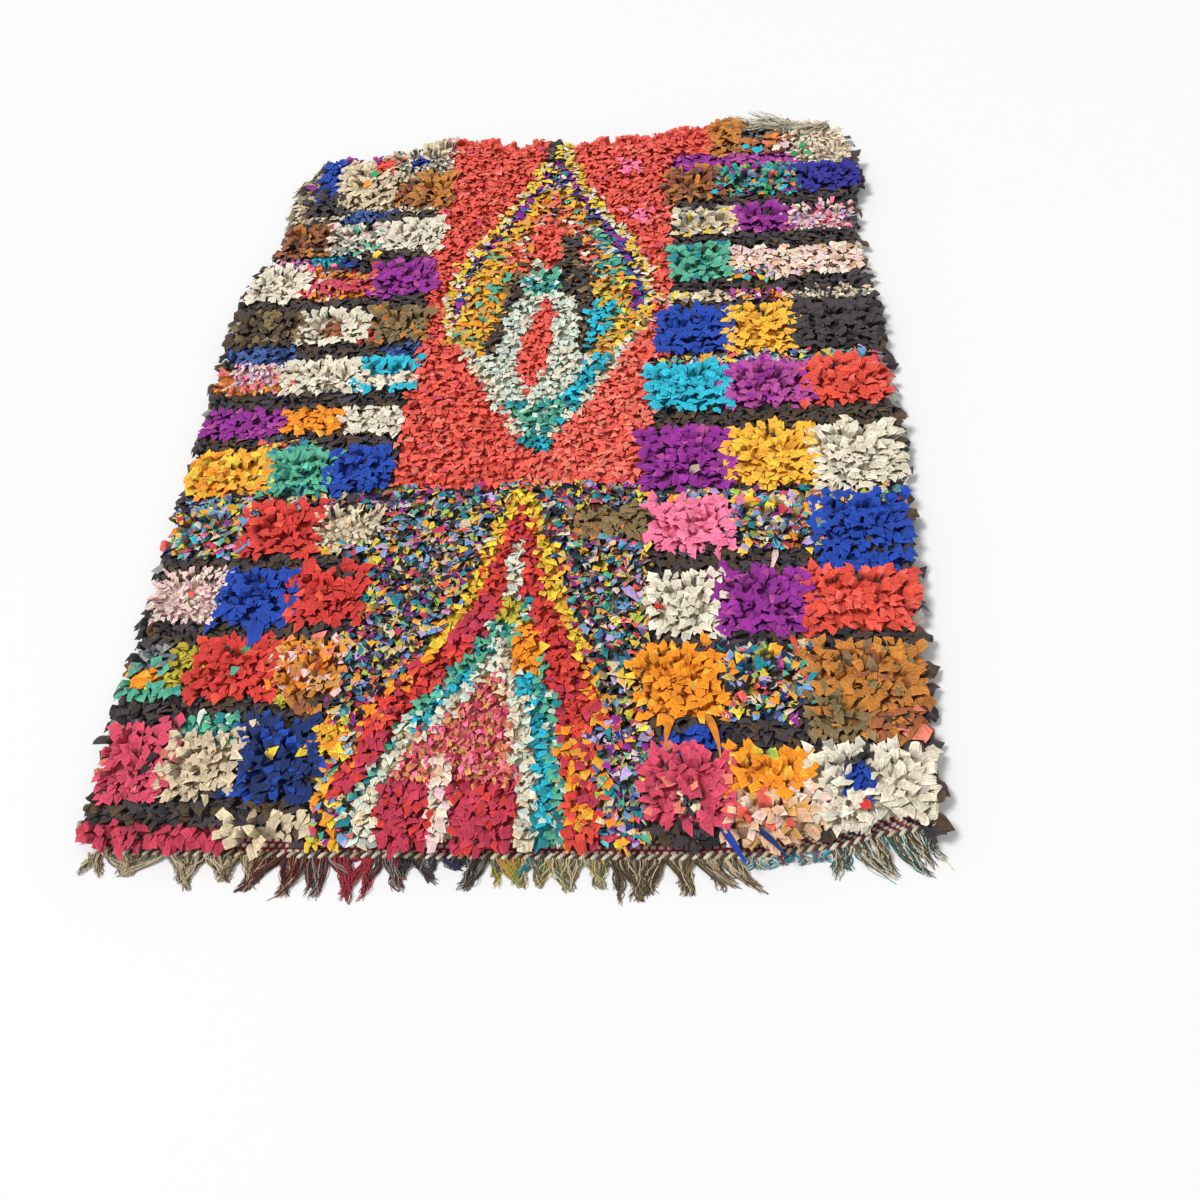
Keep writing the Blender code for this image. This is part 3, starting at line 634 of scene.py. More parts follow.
    def spire(self, across: float, along: float) -> Cloth:
        """Finds the stuff of the lower middle, by how deep a place lies inside the spire.

        Args:
            across: The place across the rug.
            along: The place along the rug.

        Returns:
            The stuff.
        """
        axis = float(np.interp(along, *zip(*self.SPIRE_AXIS)))
        depth = float(np.interp(along, *zip(*self.SPIRE))) - abs(across - axis)
        low = along < self.FOOT
        if depth < 0 or along > self.SPIRE_TOP:
            return Cloth.DARK_PRINT
        if 0.49 < along < 0.62 and abs(across + 0.015) < 0.014:
            return Cloth.WHITE_RING
        if 0.44 < along <= 0.49 and abs(across + 0.005) < 0.030:
            return Cloth.OLIVE_YELLOW if across < 0.01 else Cloth.GREEN_PUFF
        if depth < self.YELLOW:
            return Cloth.YELLOW if along > 0.36 else Cloth.LIGHT_PRINT if low else Cloth.LOW_ORANGE
        if depth < self.RED:
            if across < axis and along < 0.095:
                return Cloth.ACCENT if math.sin(across * 150 + along * 60) > 0.2 else Cloth.LIGHT_PRINT
            if low:
                return Cloth.LOW_ORANGE if across > axis or depth < 0.05 else Cloth.LOW_RED
            return Cloth.LOW_RED if across < axis and 0.38 < along < 0.50 else Cloth.SPIRE_RED
        if -0.005 < across < 0.05 and 0.33 < along <= 0.45:
            return Cloth.ORANGE
        if across < axis and low:
            return self.low_left(across, along, depth)
        if depth < self.GREEN:
            return Cloth.GREEN_PUFF
        if depth < self.TURQUOISE:
            if across < axis:
                return Cloth.TURQUOISE_PUFF if 0.20 < along < 0.33 else Cloth.GREEN_PUFF
            return Cloth.TURQUOISE_PUFF if along < 0.37 else Cloth.GREEN_PUFF
        if depth < self.WHITE:
            return Cloth.WHITE_RING
        return self.bell(across, along)

    def low_left(self, across: float, along: float, depth: float) -> Cloth:
        """The stuff of the spire's left foot, where the pale ring is wide."""
        if depth < 0.096:
            return Cloth.GREEN_PUFF
        return Cloth.WHITE_RING if depth < 0.136 else self.bell(across, along)

    def bell(self, across: float, along: float) -> Cloth:
        """The stuff inside the spire's rings: a speckled rose above crimson, with a pale stripe."""
        if along < 0.17 and abs(across + 0.10 + 0.1 * along) < 0.018:
            return Cloth.BLUSH
        return Cloth.LOW_RED if along < 0.12 else Cloth.ROSE_BED

    def is_brown(self, across: float, along: float) -> bool:
        """Whether a knot of a dark band is one of its brown stretches, which are fewer at the right."""
        return math.sin(across * 43 + along * 91) > (0.2 if across < 0 else 0.8)

    def is_accent(self, across: float, along: float) -> bool:
        """Whether a knot among the prints is one of the few that are larger and brighter."""
        return math.sin(across * 517 + along * 911) * math.sin(across * 233 - along * 371) > 0.80


@dataclass
class GroundCloth:
    """The woven ground that the rags are knotted on: one thin sheet with the rug's outline."""

    columns: int = 60
    rows: int = 76
    underside: float = 0.0007
    thickness: float = 0.0016
    tone: float = 0.6

    def build(self) -> Thing:
        """Makes the sheet.

        Returns:
            The sheet.
        """
        bm, places = flat_grid(self.columns, self.rows)
        move_points(bm, self.points(places[:, 0], places[:, 1]))
        bmesh.ops.recalc_face_normals(bm, faces=bm.faces)
        bmesh.ops.solidify(bm, geom=list(bm.faces), thickness=self.thickness)
        return object_of(bm, "ground_cloth")

    def points(self, column: np.ndarray, row: np.ndarray) -> np.ndarray:
        """Places points on top of the sheet.

        Args:
            column: Each point's share of the sheet's width.
            row: Each point's share of its length.

        Returns:
            The points.
        """
        along = row * CLOTH_LENGTH
        left, right = along_edge(LEFT_EDGE, along), along_edge(RIGHT_EDGE, along)
        across = left + (right - left) * column
        near, far = along_edge(NEAR_EDGE, across), along_edge(FAR_EDGE, across)
        along = near + (far - near) * row
        height = np.full(len(across), self.underside + self.thickness)
        return np.stack([across, along - ORIGIN_ALONG, height], -1)


@dataclass
class RagEnds:
    """Many rag ends of one cut: where each is knotted, how it leans, bends and is cut, and its dyes."""

    cut: Cut
    root: np.ndarray
    heading: np.ndarray
    turn: np.ndarray
    width: np.ndarray
    length: np.ndarray
    rise: np.ndarray
    droop: np.ndarray
    twist: np.ndarray
    slant: np.ndarray
    order: np.ndarray
    colour: np.ndarray
    second: np.ndarray
    printed: np.ndarray
    taper: np.ndarray

    def __len__(self) -> int:
        """How many ends there are."""
        return len(self.root)


@dataclass
class PileSurface:
    """How high the pile stands so far, on a fine grid, so that each rag end lies on those before it."""

    half: tuple[float, float] = (0.90, 1.16)
    cell: float = 0.005
    stubble: float = BED_HEIGHT
    clearance: float = 0.0009
    most_lift: float = 0.040
    soft_top: float = 0.030
    squeeze: float = 0.016
    batches: int = 220

    def __post_init__(self) -> None:
        """Starts with the stubble of the knots on the cloth, and the floor beyond it."""
        counts = [int(2 * reach / self.cell) for reach in self.half]
        across = (np.arange(counts[0]) + 0.5) * self.cell - self.half[0]
        along = (np.arange(counts[1]) + 0.5) * self.cell - self.half[1] + ORIGIN_ALONG
        inside = across[:, None] > along_edge(LEFT_EDGE, along)
        inside &= across[:, None] < along_edge(RIGHT_EDGE, along)
        inside &= along > along_edge(NEAR_EDGE, across)[:, None] + HEADER_DEPTH
        inside &= along < along_edge(FAR_EDGE, across)[:, None]
        self.height = np.where(inside, self.stubble, 0.0)

    def cells_of(self, points: np.ndarray) -> tuple[np.ndarray, np.ndarray]:
        """Finds the grid cells under some points.

        Args:
            points: The points.

        Returns:
            The cells' columns and rows.
        """
        column = ((points[..., 0] + self.half[0]) / self.cell).astype(int)
        row = ((points[..., 1] + self.half[1]) / self.cell).astype(int)
        return np.clip(column, 0, self.height.shape[0] - 1), np.clip(row, 0, self.height.shape[1] - 1)

    def lay(self, points: np.ndarray, share: np.ndarray) -> np.ndarray:
        """Lays one batch of rag ends on the pile.

        Args:
            points: The ends' points, by end, row and column.
            share: How far along an end each row lies, from 0 at its knot to 1 at its cut.

        Returns:
            The points, lifted where something already lies there.
        """
        short = self.height[self.cells_of(points)] + self.clearance - points[..., 2]
        lift = np.clip(short.max(axis=2), 0, self.most_lift) * smooth(0.10, 0.50, share)
        padded = np.pad(lift, ((0, 0), (1, 1)), mode="edge")
        lift = np.maximum(lift, (padded[:, :-2] + 2 * lift + padded[:, 2:]) / 4)
        points[..., 2] = np.maximum(points[..., 2] + lift[:, :, None], self.clearance)
        outer = points[:, share > 0.3]
        middles = (outer[:, 1:, 1:] + outer[:, :-1, 1:] + outer[:, 1:, :-1] + outer[:, :-1, :-1]) / 4
        for laid in (outer, middles):
            np.maximum.at(self.height, self.cells_of(laid), laid[..., 2])
        return points

    def pressed(self, points: np.ndarray) -> np.ndarray:
        """Presses the upper part of the pile down.

        Args:
            points: The pile's points.

        Returns:
            The same points, pressed.
        """
        over = np.maximum(points[..., 2] - self.soft_top, 0)
        points[..., 2] -= over - self.squeeze * (1 - np.exp(-over / self.squeeze))
        return points


class StripMesh:
    """The flat mesh of one rag end, which is copied and shaped for each end of a cut."""

    def __init__(self, cells: tuple[int, int]) -> None:
        """Makes the flat strip with an operator and reads its points and faces.

        Args:
            cells: How many cells the strip has across and along.
        """
        self.across, self.along = cells
        bm, places = flat_grid(self.across, self.along)
        column = np.rint(places[:, 0] * self.across).astype(int)
        row = np.rint(places[:, 1] * self.along).astype(int)
        self.faces = faces_by_slot(bm, row * (self.across + 1) + column)
        bm.free()
        self.side = np.linspace(-1, 1, self.across + 1)
        self.share = np.linspace(0, 1, self.along + 1)

    def points(self, ends: RagEnds, chance: Chance) -> np.ndarray:
        """The points of every end, before it is laid on the pile.

        Args:
            ends: The ends.
            chance: The source of the loose crumples.

        Returns:
            Points by end, row and column.
        """
        count, share, side = len(ends), self.share, self.side
        eased = smooth(0.15, 0.95, share)
        climb = ends.rise[:, None] + (ends.droop - ends.rise)[:, None] * eased
        heading = ends.heading[:, None] + ends.turn[:, None] * share
        step = (ends.length / self.along)[:, None]
        level = np.cos(climb)
        ahead = np.stack([level * np.cos(heading), level * np.sin(heading), np.sin(climb)], -1)
        between = (ahead[:, 1:] + ahead[:, :-1]) / 2 * step[..., None]
        spine = np.concatenate([np.zeros((count, 1, 3)), np.cumsum(between, axis=1)], axis=1)
        spine += ends.root[:, None, :]
        flat = np.stack([-np.sin(heading), np.cos(heading), np.zeros_like(heading)], -1)
        up = np.cross(ahead, flat)
        twist = (ends.twist[:, None] * (1 - 0.75 * eased))[..., None]
        beside = flat * np.cos(twist) + up * np.sin(twist)
        above = np.cross(ahead, beside)
        spread = 0.55 + 0.45 * smooth(0.0, 0.55, share)
        spread = spread * (1 - ends.taper[:, None] * smooth(0.35, 1.0, share))
        half = ends.width[:, None] / 2 * spread
        lean = ends.slant[:, None, None] * side * share[:, None] ** 4 * half[..., None]
        tall = self.relief(ends, half, chance)
        points = spine[:, :, None, :] + beside[:, :, None, :] * (side * half[..., None])[..., None]
        points += ahead[:, :, None, :] * lean[..., None]
        return points + above[:, :, None, :] * tall[..., None]

    def relief(self, ends: RagEnds, half: np.ndarray, chance: Chance) -> np.ndarray:
        """Works out how far each point stands off the flat strip, from a curl, gathers and sharp folds.

        Args:
            ends: The ends.
            half: Their half widths, by end and row.
            chance: The random source.

        Returns:
            The heights, by end, row and column.
        """
        count = len(ends)
        share, side = self.share[None, :, None], self.side[None, None, :]

        def each(low: float, high: float) -> np.ndarray:
            """One loose number for every end."""
            return chance.uniform(low, high, count)[:, None, None]

        wide = half[..., None]
        tall = -each(-0.10, 0.30) * wide * (side ** 2 - 0.33)
        tall = tall + each(-0.42, 0.42) * wide * (np.abs(side - each(-0.5, 0.5)) - 0.5)
        gathers = np.sin(side * each(2.0, 5.5) + each(0, math.tau))
        tall = tall + gathers * wide * each(0.10, 0.34) * (1 - 0.7 * share)
        angle = each(-1.3, 1.3)
        through = (share - each(0.35, 0.95)) * ends.length[:, None, None] * np.cos(angle)
        offset = through + side * wide * np.sin(angle)
        tall = tall - np.abs(offset) * each(-0.20, 0.30) * smooth(0.1, 0.5, share)
        return tall * ends.cut.value.crumple


@dataclass
class PileBed:
    """The lower part of the pile, closely packed, which shows as the deep colour between the ends; its dyes
    are a little darkened as painted shade.
    """

    chart: Chart
    columns: int = 120
    rows: int = 152
    height: float = BED_HEIGHT
    gap: float = 0.0004
    lump: float = 0.0042
    bare_depth: float = 0.012
    # Painted shade: the bed's dyes are darkened to this share for its depth under the ends.
    tone: float = 0.90

    def build(self, ground: GroundCloth, chance: Chance) -> Thing:
        """Makes the bed on the ground cloth.

        Args:
            ground: The ground cloth, which gives the outline.
            chance: The random source.

        Returns:
            The bed.
        """
        bm, places = flat_grid(self.columns, self.rows)
        points = ground.points(places[:, 0], places[:, 1])
        points[:, 2] += self.gap
        pile_from = along_edge(NEAR_EDGE, points[:, 0]) + HEADER_DEPTH + self.bare_depth
        rim = (np.abs(places - 0.5).max(axis=1) > 0.4999) | (points[:, 1] + ORIGIN_ALONG < pile_from)
        points[:, 2] += np.where(rim, 0, self.height + chance.uniform(-1, 1, len(points)) * self.lump)
        move_points(bm, points)
        bmesh.ops.delete(bm, geom=[face for face in bm.faces if self.is_bare(face)], context="FACES")
        thing = object_of(bm, "pile_bed")
        dye_by_chart(thing, self.chart, self.tone, chance)
        thing.data.shade_flat()
        return thing

    def is_bare(self, face: bmesh.types.BMFace) -> bool:
        """Whether a face lies on the bare header, where there is no pile."""
        return all(vertex.co.z < self.height / 2 for vertex in face.verts)


def picked_dyes(cloths: list[Cloth], chance: Chance) -> list[Dye]:
    """One dye of each stuff, picked by chance."""
    return [cloth.value.dyes[chance.integers(len(cloth.value.dyes))] for cloth in cloths]


def dye_by_chart(thing: Thing, chart: Chart, tone: float, chance: Chance) -> None:
    """Gives each face of a sheet a dye of the rags that are knotted over it.

    Args:
        thing: The sheet.
        chart: The chart of the stuffs.
        tone: How light its dyes are beside those of the rags.
        chance: The random source.
    """
    print_tone, shade, bake_scale, bake_aside, top = 0.35, 0.12, (3.2, 2.0), (0.5, 0.0), 0.0008
    mesh = thing.data
    places, middles = np.zeros(len(mesh.vertices) * 3), np.zeros(len(mesh.polygons) * 3)
    mesh.vertices.foreach_get("co", places)
    mesh.polygons.foreach_get("center", middles)
    places, middles = places.reshape(-1, 3), middles.reshape(-1, 3)
    cloths, _found = chart.cloths(middles[:, 0], middles[:, 1] + ORIGIN_ALONG)
    dyes = np.array([linear(dye) for dye in picked_dyes(cloths, chance)])
    deep = np.array([print_tone if cloth.value.printed > 0.5 else 1.0 for cloth in cloths])
    dyes *= (tone * deep * np.exp(chance.normal(0, shade, len(dyes))))[:, None]
    sides = np.zeros(len(mesh.polygons), np.int32)
    mesh.polygons.foreach_get("loop_total", sides)
    for name in ("dye", "print_dye"):
        point_colour(thing, name, np.repeat(np.clip(dyes, 0, 1), sides, axis=0), "CORNER")
    # With tip 1 and edge 0 a sheet gets neither the rags' painted shade near the knot nor their painted
    # highlight at the edges.
    for name, value in (("printed", 0.0), ("tip", 1.0), ("edge", 0.0)):
        point_value(thing, name, np.full(len(places), value))
    corners = corner_points(mesh)
    point_uv(thing, "rag", places[:, :2], corners)
    apart = places[:, :2] - places[:, :2].min(axis=0)
    is_upper = places[:, 2] > places[:, 2].min() + top
    point_uv(thing, "OFBake", apart / bake_scale + np.outer(is_upper, bake_aside), corners)


@dataclass(frozen=True)
class Lean:
    """How the rag ends of a check splay from its middle, how the others lie, and how both bend."""

    most_half: float = 0.12
    least_half: float = 0.035
    furthest: float = 1.2
    splay: float = 1.5
    check_stray: float = 0.40
    check_pull: float = -0.18
    open_stray: float = 0.45
    open_pull: float = -0.70
    side_rim: float = 1.6
    far_rim: float = 1.4
    near_rim: float = 0.6
    tilt: tuple[float, float] = (0.48, 0.20)
    splayed_tilt: float = 0.24
    open_tilt: float = 0.3
    rim_tilt: float = 0.6
    most_tilt: float = 1.5
    rise: tuple[float, float] = (1.50, -0.45)
    droop: tuple[float, float] = (0.85, -1.30)
    first: float = -2.6
    shingle: float = 1.2
    shingle_stray: float = 0.016
    check_order: float = 0.16
    band_first: float = -1.3
    rim_length: float = 0.10
    snipped: float = 0.40


@dataclass
class RagPile:
    """The knotted rag ends, laid one over another, in a few joined meshes."""

    chart: Chart
    root_height: float = 0.0185
    slope: float = 0.012
    root_stray: float = 0.0030
    ends_apart: float = 0.0035
    border_stray: float = 0.003
    rim: float = 0.030
    shade: float = 0.10
    most_triangles: int = 190_000
    sides: tuple[float, float] = (0.03, 1.86)
    far: tuple[float, float] = (-0.61, 0.70)
    loose_lift: float = 0.010
    knots_from: float = 0.006
    margin: float = 0.004
    lean: Lean = Lean()

    def build(self, chance: Chance) -> list[Thing]:
        """Makes every rag end and lays it on the pile.

        Args:
            chance: The random source.

        Returns:
            The joined meshes, by cut and side.
        """
        surface = PileSurface()
        sets = [self.knot(cut, chance) for cut in Cut if cut not in (Cut.TAG, Cut.LOOSE, Cut.HEM)]
        sets += [self.tags(chance), self.loose(chance), self.hem(chance)]
        strips = [StripMesh(ends.cut.value.cells) for ends in sets]
        points = [strip.points(ends, chance) for strip, ends in zip(strips, sets)]
        order = np.concatenate([ends.order for ends in sets])
        cuts = np.quantile(order, np.linspace(0, 1, surface.batches + 1))
        cuts[-1] += 1
        for low, high in zip(cuts, cuts[1:]):
            for strip, ends, laid in zip(strips, sets, points):
                now = (ends.order >= low) & (ends.order < high)
                if now.any():
                    laid[now] = surface.lay(laid[now], strip.share)
        made = []
        for strip, ends, laid in zip(strips, sets, points):
            made += self.join(strip, ends, surface.pressed(laid))
        return made

    def knot(self, cut: Cut, chance: Chance) -> RagEnds:
        """Places the knots of one cut on their rows and settles how each end lies.

        Args:
            cut: The cut.
            chance: The random source.

        Returns:
            The ends of that cut.
        """
        sizes = cut.value
        rows = np.arange(HEADER_DEPTH + self.knots_from, 1.93, sizes.pitch[1])
        columns = np.arange(-0.77, 0.77, sizes.pitch[0])
        across, along = (grid.ravel() for grid in np.meshgrid(columns, rows))
        across = across + (np.rint(along / sizes.pitch[1]) % 2) * sizes.pitch[0] / 2
        across = across + chance.normal(0, self.root_stray, len(across))
        along = along + chance.normal(0, self.root_stray, len(along))
        left, right = along_edge(LEFT_EDGE, along), along_edge(RIGHT_EDGE, along)
        near, far = along_edge(NEAR_EDGE, across), along_edge(FAR_EDGE, across)
        kept = (across > left + self.margin) & (across < right - self.margin)
        kept &= (along > near + HEADER_DEPTH) & (along < far - self.margin)
        across, along = across[kept], along[kept]
        charted = [axis + chance.normal(0, self.border_stray, len(axis)) for axis in (across, along)]
        cloths, found = self.chart.cloths(*charted)
        mine = np.array([cloth.value.cut is cut for cloth in cloths], bool)
        cloths = [cloth for cloth, own in zip(cloths, mine) if own for _end in range(sizes.ends)]
        across, along, found = (np.repeat(part[mine], sizes.ends) for part in (across, along, found))
        return self.settle(cut, cloths, across, along, found, chance)

    def tags(self, chance: Chance) -> RagEnds:
        """Places the dark selvedge ends that stick out at the sides of the rug.

        Args:
            chance: The random source.

        Returns:
            The ends.
        """
        steps = chance.uniform(0.006, 0.034, 200)
        along = np.cumsum(steps) % (self.sides[1] - self.sides[0]) + self.sides[0]
        side = np.where(chance.random(len(along)) < 0.5, -1.0, 1.0)
        rim = np.where(side < 0, along_edge(LEFT_EDGE, along), along_edge(RIGHT_EDGE, along))
        dyes = [TAG_DYES[index] for index in chance.integers(len(TAG_DYES), size=len(along))]
        heading = np.where(side > 0, 0.0, math.pi) + chance.normal(0, 0.50, len(along))
        ends = self.plain_ends(Cut.TAG, rim - side * 0.005, along, heading, dyes, -3.0, chance)
        ends.root[:, 2] = chance.uniform(0.002, 0.014, len(along))
        return ends

    def hem(self, chance: Chance) -> RagEnds:
        """Places the lowest ends of the sides and the far edge, which hang down over the bed's slope.

        Args:
            chance: The random source.

        Returns:
            The ends.
        """
        step = Cut.HEM.value.pitch[0]
        beside, beyond = np.arange(*self.sides, step), np.arange(*self.far, step)
        inset = chance.uniform(0.15, 1.0, 2 * len(beside) + len(beyond)) * self.slope
        left, right, far = np.split(inset, [len(beside), 2 * len(beside)])
        across = [along_edge(LEFT_EDGE, beside) + left, along_edge(RIGHT_EDGE, beside) - right, beyond]
        across = np.concatenate(across)
        along = np.concatenate([beside, beside, along_edge(FAR_EDGE, beyond) - far])
        heading = np.repeat([math.pi, 0.0, math.pi / 2], [len(left), len(right), len(far)])
        heading = heading + chance.normal(0, 0.35, len(inset))
        dyes = picked_dyes(self.chart.cloths(across, along)[0], chance)
        ends = self.plain_ends(Cut.HEM, across, along, heading, dyes, -4.0, chance)
        ends.root[:, 2] = 0.002 + inset / self.slope * BED_HEIGHT
        ends.rise = chance.uniform(-0.2, 0.5, len(inset))
        ends.droop = chance.uniform(-1.4, -0.7, len(inset))
        return ends

    def loose(self, chance: Chance) -> RagEnds:
        """Places the single ends that hang out of their checks or are of another colour.

        Args:
            chance: The random source.

        Returns:
            The ends.
        """
        across, along, degrees, dyes, lengths, widths, tapers = (list(column) for column in zip(*LOOSE_ENDS))
        heading = np.radians(degrees)
        ends = self.plain_ends(Cut.LOOSE, np.array(across), np.array(along), heading, dyes, 9.0, chance)
        ends.length, ends.width, ends.taper = np.array(lengths), np.array(widths), np.array(tapers)
        ends.root[:, 2] = BED_HEIGHT + self.loose_lift
        ends.rise = np.full(len(dyes), 0.9)
        ends.droop = np.where(ends.length > 0.04, -0.35, 0.1)
        ends.twist = ends.twist * 0.4
        return ends

    def plain_ends(
        self,
        cut: Cut,
        across: np.ndarray,
        along: np.ndarray,
        heading: np.ndarray,
        dyes: list[Dye],
        order: float,
        chance: Chance,
    ) -> RagEnds:
        """Ends in given places and directions, which lie low.

        Args:
            cut: Their cut.
            across: Where each is knotted across the rug.
            along: Where each is knotted along the rug.
            heading: The direction each leans in.
            dyes: Each end's dye.
            order: When they are laid.
            chance: The random source.

        Returns:
            The ends.
        """
        sizes, count = cut.value, len(across)
        colour = np.array([linear(dye) for dye in dyes]) * np.exp(chance.normal(0, self.shade, (count, 1)))
        return RagEnds(
            cut=cut,
            root=np.stack([across, along - ORIGIN_ALONG, np.full(count, self.root_height)], -1),
            heading=heading,
            turn=chance.normal(0, 0.25, count),
            width=chance.uniform(*sizes.width, count),
            length=chance.uniform(*sizes.length, count),
            rise=chance.uniform(0.25, 0.70, count),
            droop=chance.uniform(-0.50, 0.10, count),
            twist=chance.normal(0, 0.4, count),
            slant=chance.uniform(-0.8, 0.8, count),
            order=order + chance.normal(0, 0.1, count),
            colour=colour,
            second=colour,
            printed=np.zeros(count),
            taper=chance.uniform(-0.1, 0.4, count),
        )

    def settle(
        self,
        cut: Cut,
        cloths: list[Cloth],
        across: np.ndarray,
        along: np.ndarray,
        found: np.ndarray,
        chance: Chance,
    ) -> RagEnds:
        """Settles how each rag end leans, bends and is dyed.

        Args:
            cut: The ends' cut.
            cloths: Each end's stuff.
            across: Where each end is knotted across the rug.
            along: Where each end is knotted along the rug.
            found: The index of each end's patch.
            chance: The random source.

        Returns:
            The ends.
        """
        sizes, count, ways = cut.value, len(across), self.lean
        boxes = np.array([patch[:4] for patch in self.chart.patches])[found].reshape(count, 4)
        half = np.stack([boxes[:, 1] - boxes[:, 0], boxes[:, 3] - boxes[:, 2]], -1) / 2
        middle = np.stack([boxes[:, 0] + boxes[:, 1], boxes[:, 2] + boxes[:, 3]], -1) / 2
        out = (np.stack([across, along], -1) - middle) / np.maximum(half, 0.001)
        domed = (half.max(axis=1) < ways.most_half) & (half.min(axis=1) > ways.least_half)
        out = np.where(domed[:, None], np.clip(out, -ways.furthest, ways.furthest), 0)
        reach = np.hypot(out[:, 0], out[:, 1])
        stray = chance.uniform(0, math.tau, count)
        stray = np.stack([np.cos(stray), np.sin(stray)], -1)
        splayed = out * (ways.splay * reach)[:, None] + ways.check_stray * stray + (0, ways.check_pull)
        lean = np.where(domed[:, None], splayed, ways.open_stray * stray + (0, ways.open_pull))
        outer = self.lean_out(lean, across, along)
        tilt = chance.normal(*ways.tilt, count)
        tilt = tilt + ways.splayed_tilt * np.where(domed, reach ** 2, ways.open_tilt) + ways.rim_tilt * outer
        tilt = np.clip(tilt, 0, ways.most_tilt)
        shingled = ways.first + ways.shingle * along / CLOTH_LENGTH
        shingled = shingled + chance.normal(0, ways.shingle_stray, count)
        shingled = shingled + (ways.band_first if cut is Cut.BAND else 0)
        order = np.where(domed, -reach + chance.normal(0, ways.check_order, count), shingled)
        colours, seconds = self.dyed(cloths, chance)
        apart = chance.normal(0, self.ends_apart, (2, count))
        root = [across + apart[0], along + apart[1] - ORIGIN_ALONG, np.full(count, self.root_height)]
        return RagEnds(
            cut=cut,
            root=np.stack(root, -1),
            heading=np.arctan2(lean[:, 1], lean[:, 0]),
            turn=chance.normal(0, 0.28, count),
            width=chance.uniform(*sizes.width, count),
            length=chance.uniform(*sizes.length, count) * (1 + ways.rim_length * outer),
            rise=ways.rise[0] + ways.rise[1] * tilt,
            droop=ways.droop[0] + ways.droop[1] * tilt,
            twist=chance.normal(0, 0.42, count),
            slant=chance.uniform(-0.9, 0.9, count),
            order=order,
            colour=colours,
            second=seconds,
            printed=np.array([cloth.value.printed for cloth in cloths]),
            taper=self.tapers(count, chance),
        )

    def lean_out(self, lean: np.ndarray, across: np.ndarray, along: np.ndarray) -> np.ndarray:
        """Makes the ends near the rug's rim lean outwards.

        Args:
            lean: The way each end leans, which is changed.
            across: Where each end is knotted across the rug.
            along: Where each end is knotted along the rug.

        Returns:
            How near the rim each end is, from 0 inside it to 1 at the edge.
        """
        ways = self.lean
        right, left = along_edge(RIGHT_EDGE, along) - across, across - along_edge(LEFT_EDGE, along)
        far = along_edge(FAR_EDGE, across) - along
        near = along - (along_edge(NEAR_EDGE, across) + HEADER_DEPTH)
        gaps = np.stack([right, left, far, near])
        at_right, at_left, at_far, at_near = 1 - smooth(0, self.rim, gaps)
        lean[:, 0] += ways.side_rim * at_right - ways.side_rim * at_left
        lean[:, 1] += ways.far_rim * at_far - ways.near_rim * at_near
        return 1 - smooth(0, self.rim, gaps.min(axis=0))

    def tapers(self, count: int, chance: Chance) -> np.ndarray:
        """Picks how much each end narrows to its cut: some are snipped to a point.

        Args:
            count: How many ends there are.
            chance: The random source.

        Returns:
            The shares of their width that they lose.
        """
        is_snipped = chance.random(count) < self.lean.snipped
        return np.where(is_snipped, chance.uniform(0.3, 0.9, count), chance.uniform(-0.1, 0.3, count))

    def dyed(self, cloths: list[Cloth], chance: Chance) -> tuple[np.ndarray, np.ndarray]:
        """Picks each end's own colour and the second colour of its print, a little faded or deepened.

        Args:
            cloths: Each end's stuff.
            chance: The random source.

        Returns:
            The own colours and the second colours.
        """
        picked = []
        for _colour in range(2):
            dyes = [linear(dye) for dye in picked_dyes(cloths, chance)]
            picked.append(np.array(dyes).reshape(len(cloths), 3))
        tone = np.exp(chance.normal(0, self.shade, (len(cloths), 1)))
        hue = np.exp(chance.normal(0, self.shade * 0.15, (len(cloths), 3)))
        return np.clip(picked[0] * tone * hue, 0, 1), np.clip(picked[1] * tone, 0, 1)

    def join(self, strip: StripMesh, ends: RagEnds, points: np.ndarray) -> list[Thing]:
        """Joins the ends of one cut into a few meshes, split from left to right.

        Args:
            strip: The cut's flat strip.
            ends: The ends.
            points: Their points.

        Returns:
            The meshes.
        """
        triangles = len(ends) * len(strip.faces) * 2
        parts = max(1, math.ceil(triangles / self.most_triangles))
        ranked = np.argsort(ends.root[:, 0], kind="stable")
        made = []
        for number, chosen in enumerate(np.array_split(ranked, parts), 1):
            name = f"{ends.cut.name.lower()}_rags_{number}"
            made.append(joined_strips(name, strip, ends, points, chosen))
        return made


